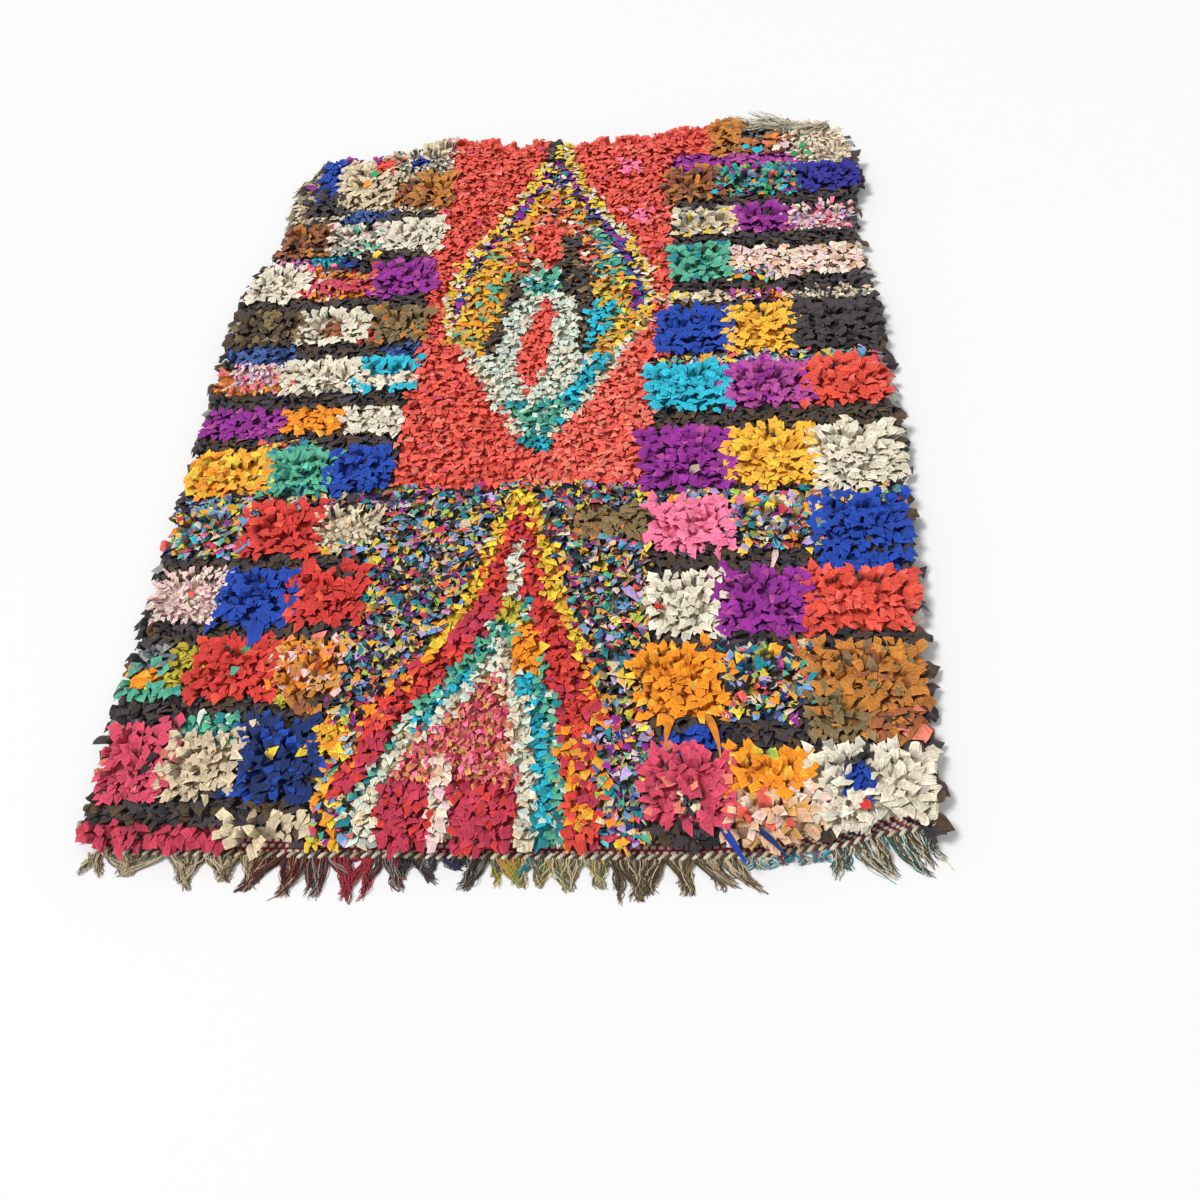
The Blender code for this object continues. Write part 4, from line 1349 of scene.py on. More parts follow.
def joined_strips(
    name: str, strip: StripMesh, ends: RagEnds, points: np.ndarray, chosen: np.ndarray
) -> Thing:
    """Joins some rag ends into one object, with their colours and maps.

    Args:
        name: The object's name.
        strip: The flat strip that the ends were shaped from.
        ends: All the ends of a cut.
        points: Their points, by end, row and column.
        chosen: The indices of the ends to join.

    Returns:
        The object.
    """
    count, per = len(chosen), (strip.across + 1) * (strip.along + 1)
    faces = faces_of_copies(strip.faces, count, per)
    thing = mesh_object(name, points[chosen].reshape(-1, 3), faces)
    share = np.repeat(strip.share, strip.across + 1)
    side = np.tile(strip.side, strip.along + 1)
    own_place = ends.root[chosen][:, :2] * (7, 5)
    across = side * ends.width[chosen][:, None] / 2 + own_place[:, :1]
    along = share * ends.length[chosen][:, None] + own_place[:, 1:]
    point_uv(thing, "rag", np.stack([across.ravel(), along.ravel()], -1), faces)
    point_uv(thing, "OFBake", atlas(count, side, share), faces)
    point_colour(thing, "dye", np.repeat(ends.colour[chosen], per, axis=0))
    point_colour(thing, "print_dye", np.repeat(ends.second[chosen], per, axis=0))
    point_value(thing, "printed", np.repeat(ends.printed[chosen], per))
    # tip runs from 0 at the knot to 1 at the cut; the material paints shade near the knot from it.
    point_value(thing, "tip", np.tile(share, count))
    # edge is 1 along the sides and the cut, where the material paints a highlight.
    point_value(thing, "edge", np.tile(np.maximum(np.abs(side), share), count))
    thing.data.shade_smooth()
    thing.data.set_sharp_from_angle(angle=math.radians(30))
    return thing


def mesh_object(name: str, points: np.ndarray, faces: np.ndarray) -> Thing:
    """Joins shaped copies of one mesh in an object.

    Args:
        name: The object's name.
        points: The points of all the copies.
        faces: Their faces, which all have as many corners.

    Returns:
        The object.
    """
    mesh = bpy.data.meshes.new(name)
    mesh.vertices.add(len(points))
    mesh.vertices.foreach_set("co", points.astype(np.float32).ravel())
    mesh.loops.add(faces.size)
    mesh.loops.foreach_set("vertex_index", faces.astype(np.int32).ravel())
    mesh.polygons.add(len(faces))
    mesh.polygons.foreach_set("loop_start", np.arange(0, faces.size, faces.shape[1], dtype=np.int32))
    mesh.update(calc_edges=True)
    mesh.validate()
    return placed(name, mesh)


def atlas(count: int, side: np.ndarray, share: np.ndarray) -> np.ndarray:
    """Gives each of many like pieces a place of its own on one square map.

    Args:
        count: How many pieces there are.
        side: How far aside each point of a piece lies, from -1 to 1.
        share: How far along each point of a piece lies, from 0 to 1.

    Returns:
        The points' places on the map.
    """
    cells, margin = math.ceil(math.sqrt(count)), 0.06
    number = np.arange(count)[:, None]
    across = (number % cells + margin + (side + 1) / 2 * (1 - 2 * margin)) / cells
    along = (number // cells + margin + share * (1 - 2 * margin)) / cells
    return np.stack([across.ravel(), along.ravel()], -1)


def corner_points(mesh: bpy.types.Mesh) -> np.ndarray:
    """Reads which point each corner of a mesh's faces has.

    Args:
        mesh: The mesh.

    Returns:
        The points' indices.
    """
    corners = np.zeros(len(mesh.loops), np.int32)
    mesh.loops.foreach_get("vertex_index", corners)
    return corners


def point_uv(thing: Thing, name: str, places: np.ndarray, faces: np.ndarray) -> None:
    """Gives a mesh a UV map from one place for each of its points."""
    layer = thing.data.uv_layers.new(name=name)
    layer.uv.foreach_set("vector", places[faces.ravel()].astype(np.float32).ravel())


def point_colour(thing: Thing, name: str, colours: np.ndarray, each: str = "POINT") -> None:
    """Gives a mesh a colour for each of its points or corners.

    Args:
        thing: The object of the mesh.
        name: The attribute's name.
        colours: The colours.
        each: What has a colour: POINT or CORNER.
    """
    attribute = thing.data.attributes.new(name, "FLOAT_COLOR", each)
    full = np.concatenate([colours, np.ones((len(colours), 1))], axis=1)
    attribute.data.foreach_set("color", full.astype(np.float32).ravel())


def point_value(thing: Thing, name: str, values: np.ndarray) -> None:
    """Gives a mesh a number for each of its points."""
    attribute = thing.data.attributes.new(name, "FLOAT", "POINT")
    attribute.data.foreach_set("value", values.astype(np.float32))


class Nodes:
    """A short way to add and link shader nodes in one tree."""

    def __init__(self, tree: bpy.types.NodeTree) -> None:
        """Keeps the tree."""
        self.tree = tree

    def feed(self, node: bpy.types.Node, values: dict) -> bpy.types.Node:
        """Sets a node's inputs, or links them to the sockets that feed them.

        Args:
            node: The node.
            values: What each input holds, or the socket that feeds it.

        Returns:
            The node.
        """
        for name, value in values.items():
            if isinstance(value, bpy.types.NodeSocket):
                self.tree.links.new(value, node.inputs[name])
            else:
                node.inputs[name].default_value = value
        return node

    def add(self, kind: str, values: dict | None = None, **settings: object) -> bpy.types.Node:
        """Adds a node.

        Args:
            kind: The node's type, without its ShaderNode prefix.
            values: What its inputs hold, or the sockets that feed them.
            settings: The node's own properties.

        Returns:
            The node.
        """
        node = self.tree.nodes.new(kind if kind.startswith("Node") else "ShaderNode" + kind)
        for name, setting in settings.items():
            setattr(node, name, setting)
        return self.feed(node, values or {})

    def carried(self, name: str, output: str = "Fac") -> bpy.types.NodeSocket:
        """A number, or with the output Color a colour, that the mesh carries."""
        return self.add("Attribute", attribute_name=name).outputs[output]

    def math(self, operation: str, first: object, second: object = 0.5) -> bpy.types.NodeSocket:
        """The result of one sum of two numbers or sockets."""
        return self.add("Math", {0: first, 1: second}, operation=operation).outputs[0]

    def product(self, first: bpy.types.NodeSocket, *others: object) -> bpy.types.NodeSocket:
        """Several numbers multiplied.

        Args:
            first: The first number.
            others: The other numbers.

        Returns:
            Their product.
        """
        for other in others:
            first = self.math("MULTIPLY", first, other)
        return first

    def mix(self, share: object, first: object, second: object, how: str = "MIX") -> bpy.types.NodeSocket:
        """A colour between two others."""
        values = {0: share, 6: first, 7: second}
        return self.add("Mix", values, data_type="RGBA", blend_type=how).outputs[2]

    def toned(self, colour: bpy.types.NodeSocket, tone: bpy.types.NodeSocket) -> bpy.types.NodeSocket:
        """A colour made lighter or darker by a number."""
        grey = self.add("CombineColor", {"Red": tone, "Green": tone, "Blue": tone})
        return self.mix(1.0, colour, grey.outputs[0], "MULTIPLY")

    def step(
        self, value: object, low: float, high: float, least: float = 0, most: float = 1
    ) -> bpy.types.NodeSocket:
        """A number that goes from least to most while value goes from low to high."""
        values = {"Value": value, "From Min": low, "From Max": high, "To Min": least, "To Max": most}
        return self.add("MapRange", values, clamp=True).outputs[0]


def new_group(name: str, inputs: dict[str, str], outputs: dict[str, str]) -> tuple[bpy.types.NodeTree, Nodes]:
    """Starts a shader node group.

    Args:
        name: The group's name.
        inputs: Its inputs' names and socket types.
        outputs: Its outputs' names and socket types.

    Returns:
        The group and a way to add its nodes.
    """
    group = bpy.data.node_groups.new(name, "ShaderNodeTree")
    for side, sockets in (("INPUT", inputs), ("OUTPUT", outputs)):
        for socket, kind in sockets.items():
            group.interface.new_socket(socket, in_out=side, socket_type="NodeSocket" + kind)
    return group, Nodes(group)


def new_material(name: str) -> tuple[bpy.types.Material, Nodes, bpy.types.Node]:
    """Starts a material.

    Args:
        name: The material's name.

    Returns:
        The material, a way to add its nodes, and its shader.
    """
    made = bpy.data.materials.new(name)
    made.use_nodes = True
    return made, Nodes(made.node_tree), made.node_tree.nodes["Principled BSDF"]


def weave_group() -> bpy.types.NodeTree:
    """The over and under of a plain weave, as a height.

    Returns:
        The group.
    """
    inputs = {"Place": "Vector", "Threads per metre": "Float"}
    group, nodes = new_group("plain_weave", inputs, {"Height": "Float"})
    given = nodes.add("NodeGroupInput")
    scaled = nodes.add("VectorMath", {0: given.outputs[0], "Scale": given.outputs[1]}, operation="SCALE")
    parts = nodes.add("SeparateXYZ", {0: scaled.outputs[0]})
    waves = [nodes.math("SINE", nodes.math("MULTIPLY", parts.outputs[axis], math.pi)) for axis in (0, 1)]
    nodes.add("NodeGroupOutput", {"Height": nodes.product(*waves)})
    return group


def wrinkle_group() -> bpy.types.NodeTree:
    """Creases that run down a rag from its knot, as a height, and its faded places.

    Returns:
        The group.
    """
    drawn_out, blots_per_metre = (1.0, 0.20, 1.0), 45.0
    inputs = {"Place": "Vector", "Scale": "Float"}
    group, nodes = new_group("rag_wrinkles", inputs, {"Height": "Float", "Fade": "Float"})
    given = nodes.add("NodeGroupInput")
    drawn = nodes.add("VectorMath", {0: given.outputs[0], 1: drawn_out}, operation="MULTIPLY")
    creases = nodes.add(
        "TexNoise", {"Vector": drawn.outputs[0], "Scale": given.outputs[1], "Detail": 3.0, "Roughness": 0.55}
    )
    ridge = nodes.math("ABSOLUTE", nodes.math("SUBTRACT", creases.outputs[0], 0.5))
    faded = nodes.add("TexNoise", {"Vector": given.outputs[0], "Scale": blots_per_metre, "Detail": 2.0})
    nodes.add("NodeGroupOutput", {"Height": nodes.math("MULTIPLY", ridge, 2.0), "Fade": faded.outputs[0]})
    return group


def print_group() -> bpy.types.NodeTree:
    """The blots of a printed rag, in its second colour and in black, as two masks.

    Returns:
        The group.
    """
    outputs = {"Second": "Float", "Black": "Float"}
    group, nodes = new_group("rag_print", {"Place": "Vector", "Printed": "Float"}, outputs)
    given = nodes.add("NodeGroupInput")
    is_printed = nodes.step(given.outputs[1], 0.0, 0.05)
    blots_per_metre, masks = 44.0, []
    for start, fall in ((0.64, 0.13), (0.72, 0.12)):
        values = {"Vector": given.outputs[0], "Scale": blots_per_metre, "Detail": 1.5, "Distortion": 0.8}
        blots = nodes.add("TexNoise", values)
        level = nodes.math("SUBTRACT", start, nodes.math("MULTIPLY", given.outputs[1], fall))
        over = nodes.step(nodes.math("SUBTRACT", blots.outputs[0], level), 0.0, 0.03)
        masks.append(nodes.math("MULTIPLY", over, is_printed))
    nodes.add("NodeGroupOutput", {"Second": masks[0], "Black": masks[1]})
    return group


@dataclass(frozen=True)
class RagFinish:
    """Worn cotton and jersey rags, in the colours that the pile's points carry, with painted shade near the
    knot and in the creases and a painted highlight along the sides and the cut.
    """

    name: str = "rag_cloth"
    threads: float = 900.0
    weave_depth: float = 0.00012
    wrinkles: float = 150.0
    wrinkle_depth: float = 0.0030
    black: tuple[float, float, float, float] = (0.012, 0.012, 0.020, 1.0)
    faded: tuple[float, float] = (0.86, 1.10)
    # Painted shade in the creases: the colour is darkened along the crease lines and lightened between them.
    crease_painted_shade: tuple[float, float] = (0.70, 1.11)
    # Painted shade: the colour is darkened to this share at the knot, where the end lies deep in the pile.
    root_painted_shade: float = 0.65
    # Painted highlight: the colour is lightened to this share along the sides and the cut of each end.
    edge_painted_highlight: float = 1.20
    roughness: tuple[float, float] = (0.72, 0.92)
    sheen: float = 0.12

    def material(self, groups: dict[str, bpy.types.NodeTree]) -> bpy.types.Material:
        """Makes the material.

        Args:
            groups: The shared node groups, by name.

        Returns:
            The material.
        """
        made, nodes, shader = new_material(self.name)
        place = nodes.add("UVMap", uv_map="rag").outputs[0]
        values = {"Place": place, "Printed": nodes.carried("printed")}
        blots = nodes.add("Group", values, node_tree=groups["print"])
        creases = nodes.add("Group", {"Place": place, "Scale": self.wrinkles}, node_tree=groups["wrinkles"])
        values = {"Place": place, "Threads per metre": self.threads}
        weave = nodes.add("Group", values, node_tree=groups["weave"])
        dyes = [nodes.carried(name, "Color") for name in ("dye", "print_dye")]
        colour = nodes.mix(blots.outputs["Second"], *dyes)
        colour = nodes.mix(blots.outputs["Black"], colour, self.black)
        # The tone: random faded places, painted shade along the creases and near the knot, and a painted
        # highlight along the sides and the cut.
        tone = nodes.product(
            nodes.step(creases.outputs["Fade"], 0.3, 0.7, *self.faded),
            nodes.step(creases.outputs["Height"], 0.0, 0.09, *self.crease_painted_shade),
            nodes.step(nodes.carried("tip"), 0.05, 0.60, self.root_painted_shade, 1.0),
            nodes.step(nodes.carried("edge"), 0.80, 1.0, 1.0, self.edge_painted_highlight),
        )
        values = {"Height": creases.outputs["Height"], "Distance": self.wrinkle_depth, "Strength": 0.8}
        deep = nodes.add("Bump", values)
        values = {"Height": weave.outputs["Height"], "Distance": self.weave_depth, "Strength": 0.7}
        fine = nodes.add("Bump", {**values, "Normal": deep.outputs[0]})
        nodes.feed(shader, {
            "Base Color": nodes.toned(colour, tone),
            "Roughness": nodes.step(creases.outputs["Fade"], 0.3, 0.7, *self.roughness),
            "Normal": fine.outputs[0],
            "Sheen Weight": self.sheen,
            "Sheen Roughness": 0.5,
            "Specular IOR Level": 0.3,
        })
        return made


@dataclass(frozen=True)
class GroundFinish:
    """The back of the rug: dark wefts with the rags' knots showing between them in rows."""

    name: str = "ground_weave"
    knots: float = 150.0
    weft: tuple[float, float, float, float] = (0.035, 0.026, 0.022, 1.0)
    depth: float = 0.0012
    roughness: float = 0.92

    def material(self, groups: dict[str, bpy.types.NodeTree]) -> bpy.types.Material:
        """Makes the material.

        Args:
            groups: The shared node groups, by name.

        Returns:
            The material.
        """
        made, nodes, shader = new_material(self.name)
        values = {"Place": nodes.add("UVMap", uv_map="rag").outputs[0], "Threads per metre": self.knots}
        height = nodes.add("Group", values, node_tree=groups["weave"]).outputs["Height"]
        is_knot = nodes.step(height, -0.35, 0.05)
        bump = nodes.add("Bump", {"Height": height, "Distance": self.depth, "Strength": 0.8})
        nodes.feed(shader, {
            "Base Color": nodes.mix(is_knot, self.weft, nodes.carried("dye", "Color")),
            "Normal": bump.outputs[0],
            "Roughness": self.roughness,
            "Specular IOR Level": 0.2,
        })
        return made


@dataclass(frozen=True)
class YarnFinish:
    """Spun wool yarn, in the colours that its points carry, painted darker in the grooves of its twist as
    painted shade.
    """

    name: str = "warp_yarn"
    twists: float = 260.0
    fibres: float = 900.0
    relief: float = 0.0004
    roughness: float = 0.9
    sheen: float = 0.2

    def material(self) -> bpy.types.Material:
        """Makes the material.

        Returns:
            The material.
        """
        made, nodes, shader = new_material(self.name)
        parts = nodes.add("SeparateXYZ", {0: nodes.add("UVMap", uv_map="yarn").outputs[0]})
        turn = nodes.math("ADD", nodes.math("MULTIPLY", parts.outputs[1], self.twists), parts.outputs[0])
        twist = nodes.math("SINE", nodes.math("MULTIPLY", turn, math.tau))
        place = nodes.add("TexCoord").outputs["Object"]
        fuzz = nodes.add("TexNoise", {"Vector": place, "Scale": self.fibres, "Detail": 2.0}).outputs[0]
        # Painted shade: the colour is darker in the grooves of the twist, where the bump sinks, and lighter
        # on its ridges; the fuzz varies it at random.
        tone = nodes.product(nodes.step(twist, -1, 1, 0.78, 1.08), nodes.step(fuzz, 0.3, 0.7, 0.85, 1.1))
        bump = nodes.add("Bump", {"Height": twist, "Distance": self.relief, "Strength": 0.8})
        nodes.feed(shader, {
            "Base Color": nodes.toned(nodes.carried("dye", "Color"), tone),
            "Roughness": nodes.step(fuzz, 0.3, 0.7, self.roughness - 0.1, self.roughness),
            "Normal": bump.outputs[0],
            "Sheen Weight": self.sheen,
            "Specular IOR Level": 0.2,
        })
        return made


@dataclass(frozen=True)
class PlainFinish:
    """A matte finish in one colour, for the floor."""

    name: str
    colour: tuple[float, float, float]
    roughness: float

    def material(self) -> bpy.types.Material:
        """Makes the material.

        Returns:
            The material.
        """
        made, nodes, shader = new_material(self.name)
        nodes.feed(shader, {"Base Color": (*self.colour, 1.0), "Roughness": self.roughness})
        return made


@dataclass
class Studio:
    """The pale floor, the soft light and the camera at the photograph's view."""

    position: tuple[float, float, float] = (0.3343, -1.3797, 1.6003)
    yaw: float = -11.1691
    pitch: float = 59.3873
    roll: float = -10.7868
    focal_share: float = 0.8
    sensor: float = 36.0
    seen_from: float = 0.05
    seen_to: float = 60.0
    floor_half: float = 9.0
    floor_grey: float = 0.86
    sky: float = 0.54
    key: float = 2.2
    key_from: tuple[float, float, float] = (-0.70, 0.12, 1.15)
    key_spread: float = 18.0

    def build(self) -> None:
        """Makes the floor, the lights and the camera."""
        bm = bmesh.new()
        bmesh.ops.create_grid(bm, x_segments=2, y_segments=2, size=self.floor_half)
        floor = object_of(bm, "floor")
        floor.data.materials.append(PlainFinish("pale_floor", (self.floor_grey,) * 3, 0.7).material())
        self.light()
        self.camera()

    def camera(self) -> None:
        """Puts the camera where the photograph was taken from, with its roll."""
        yaw, pitch, roll = (math.radians(angle) for angle in (self.yaw, self.pitch, self.roll))
        ahead = Vector((math.sin(yaw) * math.cos(pitch), math.cos(yaw) * math.cos(pitch), -math.sin(pitch)))
        level = Vector((math.cos(yaw), -math.sin(yaw), 0))
        up = level.cross(ahead)
        right = math.cos(roll) * level + math.sin(roll) * up
        top = -math.sin(roll) * level + math.cos(roll) * up
        lens = bpy.data.cameras.new("camera")
        lens.sensor_width = self.sensor
        lens.lens = self.sensor * self.focal_share
        lens.clip_start, lens.clip_end = self.seen_from, self.seen_to
        camera = placed("camera", lens)
        turned = Matrix((right, top, -ahead)).transposed()
        camera.matrix_world = Matrix.Translation(self.position) @ turned.to_4x4()
        bpy.context.scene.camera = camera

    def light(self) -> None:
        """Lights the rug softly from above and from its far left side."""
        world = bpy.data.worlds.new("studio")
        world.use_nodes = True
        sky = world.node_tree.nodes["Background"]
        Nodes(world.node_tree).feed(sky, {"Color": (1.0, 1.0, 1.0, 1.0), "Strength": self.sky})
        bpy.context.scene.world = world
        lamp = bpy.data.lights.new("key_light", "SUN")
        lamp.energy = self.key
        lamp.angle = math.radians(self.key_spread)
        thing = placed("key_light", lamp)
        thing.rotation_euler = (-Vector(self.key_from)).to_track_quat("-Z", "Y").to_euler()
        settings = bpy.context.scene.view_settings
        settings.view_transform = "Standard"
        settings.look = "None"
        settings.exposure = 0.0


class FringeRun(NamedTuple):
    """A run of the near fringe: where it starts, its reach, how its tips lean to +X, and its yarns' dyes."""

    left: float
    reach: float
    lean: float
    dyes: tuple[Dye, ...]


PALE_WARPS = dye_mix("BEIGE CREAM BEIGE OLIVE SLATE CREAM")
TAN_WARPS = dye_mix("BEIGE OLIVE CREAM BEIGE BROWN")
WINE_WARPS = dye_mix("MAROON BEIGE MAROON TERRACOTTA BROWN")
MAROON_WARPS = dye_mix("MAROON BROWN MAROON CRIMSON GREY")
CRIMSON_WARPS = dye_mix("CRIMSON MAROON CRIMSON RED")
DARK_WARPS = dye_mix("BROWN BLACK GREY CHARCOAL")
NAVY_WARPS = dye_mix("CHARCOAL NAVY BLACK GREY")
GOLD_WARPS = dye_mix("MUSTARD_GREEN GOLD OLIVE MUSTARD_GREEN SLATE")
MIXED_WARPS = dye_mix("OLIVE MUSTARD_GREEN CREAM TEAL OLIVE BEIGE")
OLIVE_WARPS = dye_mix("OLIVE DARK_OLIVE*2 CREAM OLIVE")
CREAM_WARPS = dye_mix("CREAM OLIVE BEIGE DARK_OLIVE")
SHORT_WARPS = dye_mix("TURQUOISE CRIMSON IVORY TEAL")
SEA_WARPS = dye_mix("CREAM DARK_OLIVE IVORY OLIVE TEAL DARK_OLIVE")
LAID_WARPS = dye_mix("IVORY CREAM IVORY CREAM SLATE")
CORNER_WARPS = dye_mix("GREY BEIGE IVORY OLIVE MINT")

NEAR_FRINGE = [FringeRun(*row) for row in (
    (-0.735, 0.054, 0.1, PALE_WARPS), (-0.56, 0.066, 0.1, TAN_WARPS),
    (-0.43, 0.088, -0.7, WINE_WARPS), (-0.335, 0.080, 0.1, MAROON_WARPS),
    (-0.294, 0.104, 0.1, CRIMSON_WARPS), (-0.262, 0.012, 0.0, CRIMSON_WARPS),
    (-0.238, 0.094, -0.2, CRIMSON_WARPS), (-0.210, 0.080, -0.1, MAROON_WARPS),
    (-0.175, 0.050, 0.3, DARK_WARPS), (-0.125, 0.026, 0.4, NAVY_WARPS),
    (-0.060, 0.072, -0.1, DARK_WARPS), (-0.026, 0.064, 0.1, GOLD_WARPS),
    (0.03, 0.068, 0.1, MIXED_WARPS), (0.18, 0.088, 0.0, OLIVE_WARPS),
    (0.25, 0.074, 0.3, OLIVE_WARPS), (0.33, 0.066, 0.9, CREAM_WARPS),
    (0.40, 0.026, 0.3, SHORT_WARPS), (0.545, 0.060, 0.2, SEA_WARPS),
    (0.58, 0.074, 0.9, SEA_WARPS),
)]


class YarnMesh:
    """The mesh of one straight yarn, which is copied and bent along many lines."""

    def __init__(self, sides: int, rings: int) -> None:
        """Makes the yarn with operators and reads its points and faces.

        Args:
            sides: How many sides the yarn has.
            rings: How many rings of points it has.
        """
        self.sides, self.rings = sides, rings
        bm = bmesh.new()
        bmesh.ops.create_circle(bm, segments=sides, radius=1.0)
        edges = list(bm.edges)
        for _ring in range(rings - 1):
            drawn = bmesh.ops.extrude_edge_only(bm, edges=edges)["geom"]
            edges = [part for part in drawn if isinstance(part, bmesh.types.BMEdge)]
            moved = [part for part in drawn if isinstance(part, bmesh.types.BMVert)]
            bmesh.ops.translate(bm, vec=(0, 0, 1), verts=moved)
        bm.verts.index_update()
        bm.normal_update()
        outward = [Vector((*face.calc_center_median()[:2], 0)) for face in bm.faces]
        turned = [face for face, out in zip(bm.faces, outward) if face.normal.dot(out) < 0]
        bmesh.ops.reverse_faces(bm, faces=turned)
        places = np.array([vertex.co[:] for vertex in bm.verts])
        ring = np.rint(places[:, 2]).astype(int)
        angle = np.rint(np.arctan2(-places[:, 0], places[:, 1]) / math.tau * sides).astype(int) % sides
        self.faces = faces_by_slot(bm, ring * sides + angle)
        bm.free()

    def build(self, name: str, lines: np.ndarray, radii: np.ndarray, colours: np.ndarray) -> Thing:
        """Bends one yarn along each line.

        Args:
            name: The object's name.
            lines: The points of the yarns' middles, by yarn and ring.
            radii: The yarns' radii, by yarn and ring.
            colours: The yarns' colours, by yarn and ring.

        Returns:
            The joined yarns.
        """
        ahead = np.gradient(lines, axis=1)
        ahead /= np.maximum(np.linalg.norm(ahead, axis=-1, keepdims=True), 1e-9)
        beside = np.cross(ahead, (0.0, 0.0, 1.0))
        beside /= np.maximum(np.linalg.norm(beside, axis=-1, keepdims=True), 1e-6)
        above = np.cross(ahead, beside)
        angle = np.arange(self.sides) / self.sides * math.tau + math.pi / 2
        out = beside[:, :, None] * np.cos(angle)[:, None] + above[:, :, None] * np.sin(angle)[:, None]
        points = lines[:, :, None] + out * radii[:, :, None, None]
        count = len(lines)
        faces = faces_of_copies(self.faces, count, self.rings * self.sides)
        thing = mesh_object(name, points.reshape(-1, 3), faces)
        point_colour(thing, "dye", np.repeat(colours.reshape(-1, 3), self.sides, axis=0))
        share = np.repeat(np.linspace(0, 1, self.rings), self.sides)
        side = np.tile(np.linspace(-1, 1, self.sides), self.rings)
        run = np.cumsum(np.linalg.norm(np.diff(lines, axis=1, prepend=lines[:, :1]), axis=-1), axis=1)
        along = np.repeat(run, self.sides, axis=1).ravel()
        point_uv(thing, "yarn", np.stack([np.tile((side + 1) / 2, count), along], -1), faces)
        point_uv(thing, "OFBake", atlas(count, side, share), faces)
        thing.data.shade_smooth()
        return thing


@dataclass
class TwinedEdge:
    """The cord of two yarns, one pale and one dark, twined round the warp ends along the near edge."""

    gap: float = 0.0004
    width: float = 0.010
    turns: int = 76
    steps: int = 12
    ply_radius: float = 0.0031
    helix_radius: float = 0.0029
    flatness: float = 0.85
    sides: int = 8
    thickness: tuple[float, float] = (1.12, 0.92)
    shade: float = 0.12
    pale: tuple[Dye, ...] = dye_mix("IVORY CREAM IVORY BEIGE IVORY")
    dark: tuple[Dye, ...] = dye_mix("BROWN MAROON BROWN CHARCOAL BROWN")

    def build(self, chance: Chance) -> Thing:
        """Twists the two yarns round each other.

        Args:
            chance: The random source.

        Returns:
            The cord.
        """
        rings = self.turns * self.steps + 1
        turn = np.linspace(0, self.turns * math.tau, rings)
        left, right = LEFT_EDGE[0][1], RIGHT_EDGE[0][1]
        ends = self.ply_radius + self.helix_radius
        across = np.linspace(left + ends, right - ends, rings)
        sway = 0.0005 * np.sin(across * 23) + 0.0004 * np.sin(across * 61)
        middle = along_edge(NEAR_EDGE, across) - self.gap - self.width / 2 + sway
        lines, radii = [], []
        for phase, thickness in zip((0.0, math.pi), self.thickness):
            swell = 1 + 0.10 * np.sin(turn * 0.37 + phase) + 0.06 * np.sin(turn * 0.11)
            out = -np.cos(turn + phase) * self.helix_radius
            up = np.sin(turn + phase) * self.helix_radius * self.flatness
            height = self.ply_radius * 1.36 + self.helix_radius * self.flatness + up
            lines.append(np.stack([across, middle + out - ORIGIN_ALONG, height], -1))
            radii.append(self.ply_radius * swell * thickness)
        colours = self.colours(rings, chance)
        return YarnMesh(self.sides, rings).build("twined_edge", np.array(lines), np.array(radii), colours)

    def colours(self, rings: int, chance: Chance) -> np.ndarray:
        """Picks the two yarns' shades along the cord, as spun from mixed wool.

        Args:
            rings: How many rings of points each yarn has.
            chance: The random source.

        Returns:
            The colours, by yarn and ring.
        """
        turns = self.turns + 1
        turn = (np.arange(rings) // self.steps).clip(0, self.turns)
        colours = []
        for dyes in (self.pale, self.dark):
            picked = np.array([linear(dyes[index]) for index in chance.integers(len(dyes), size=turns)])
            colours.append((picked * np.exp(chance.normal(0, self.shade, (turns, 1))))[turn])
        return np.array(colours)


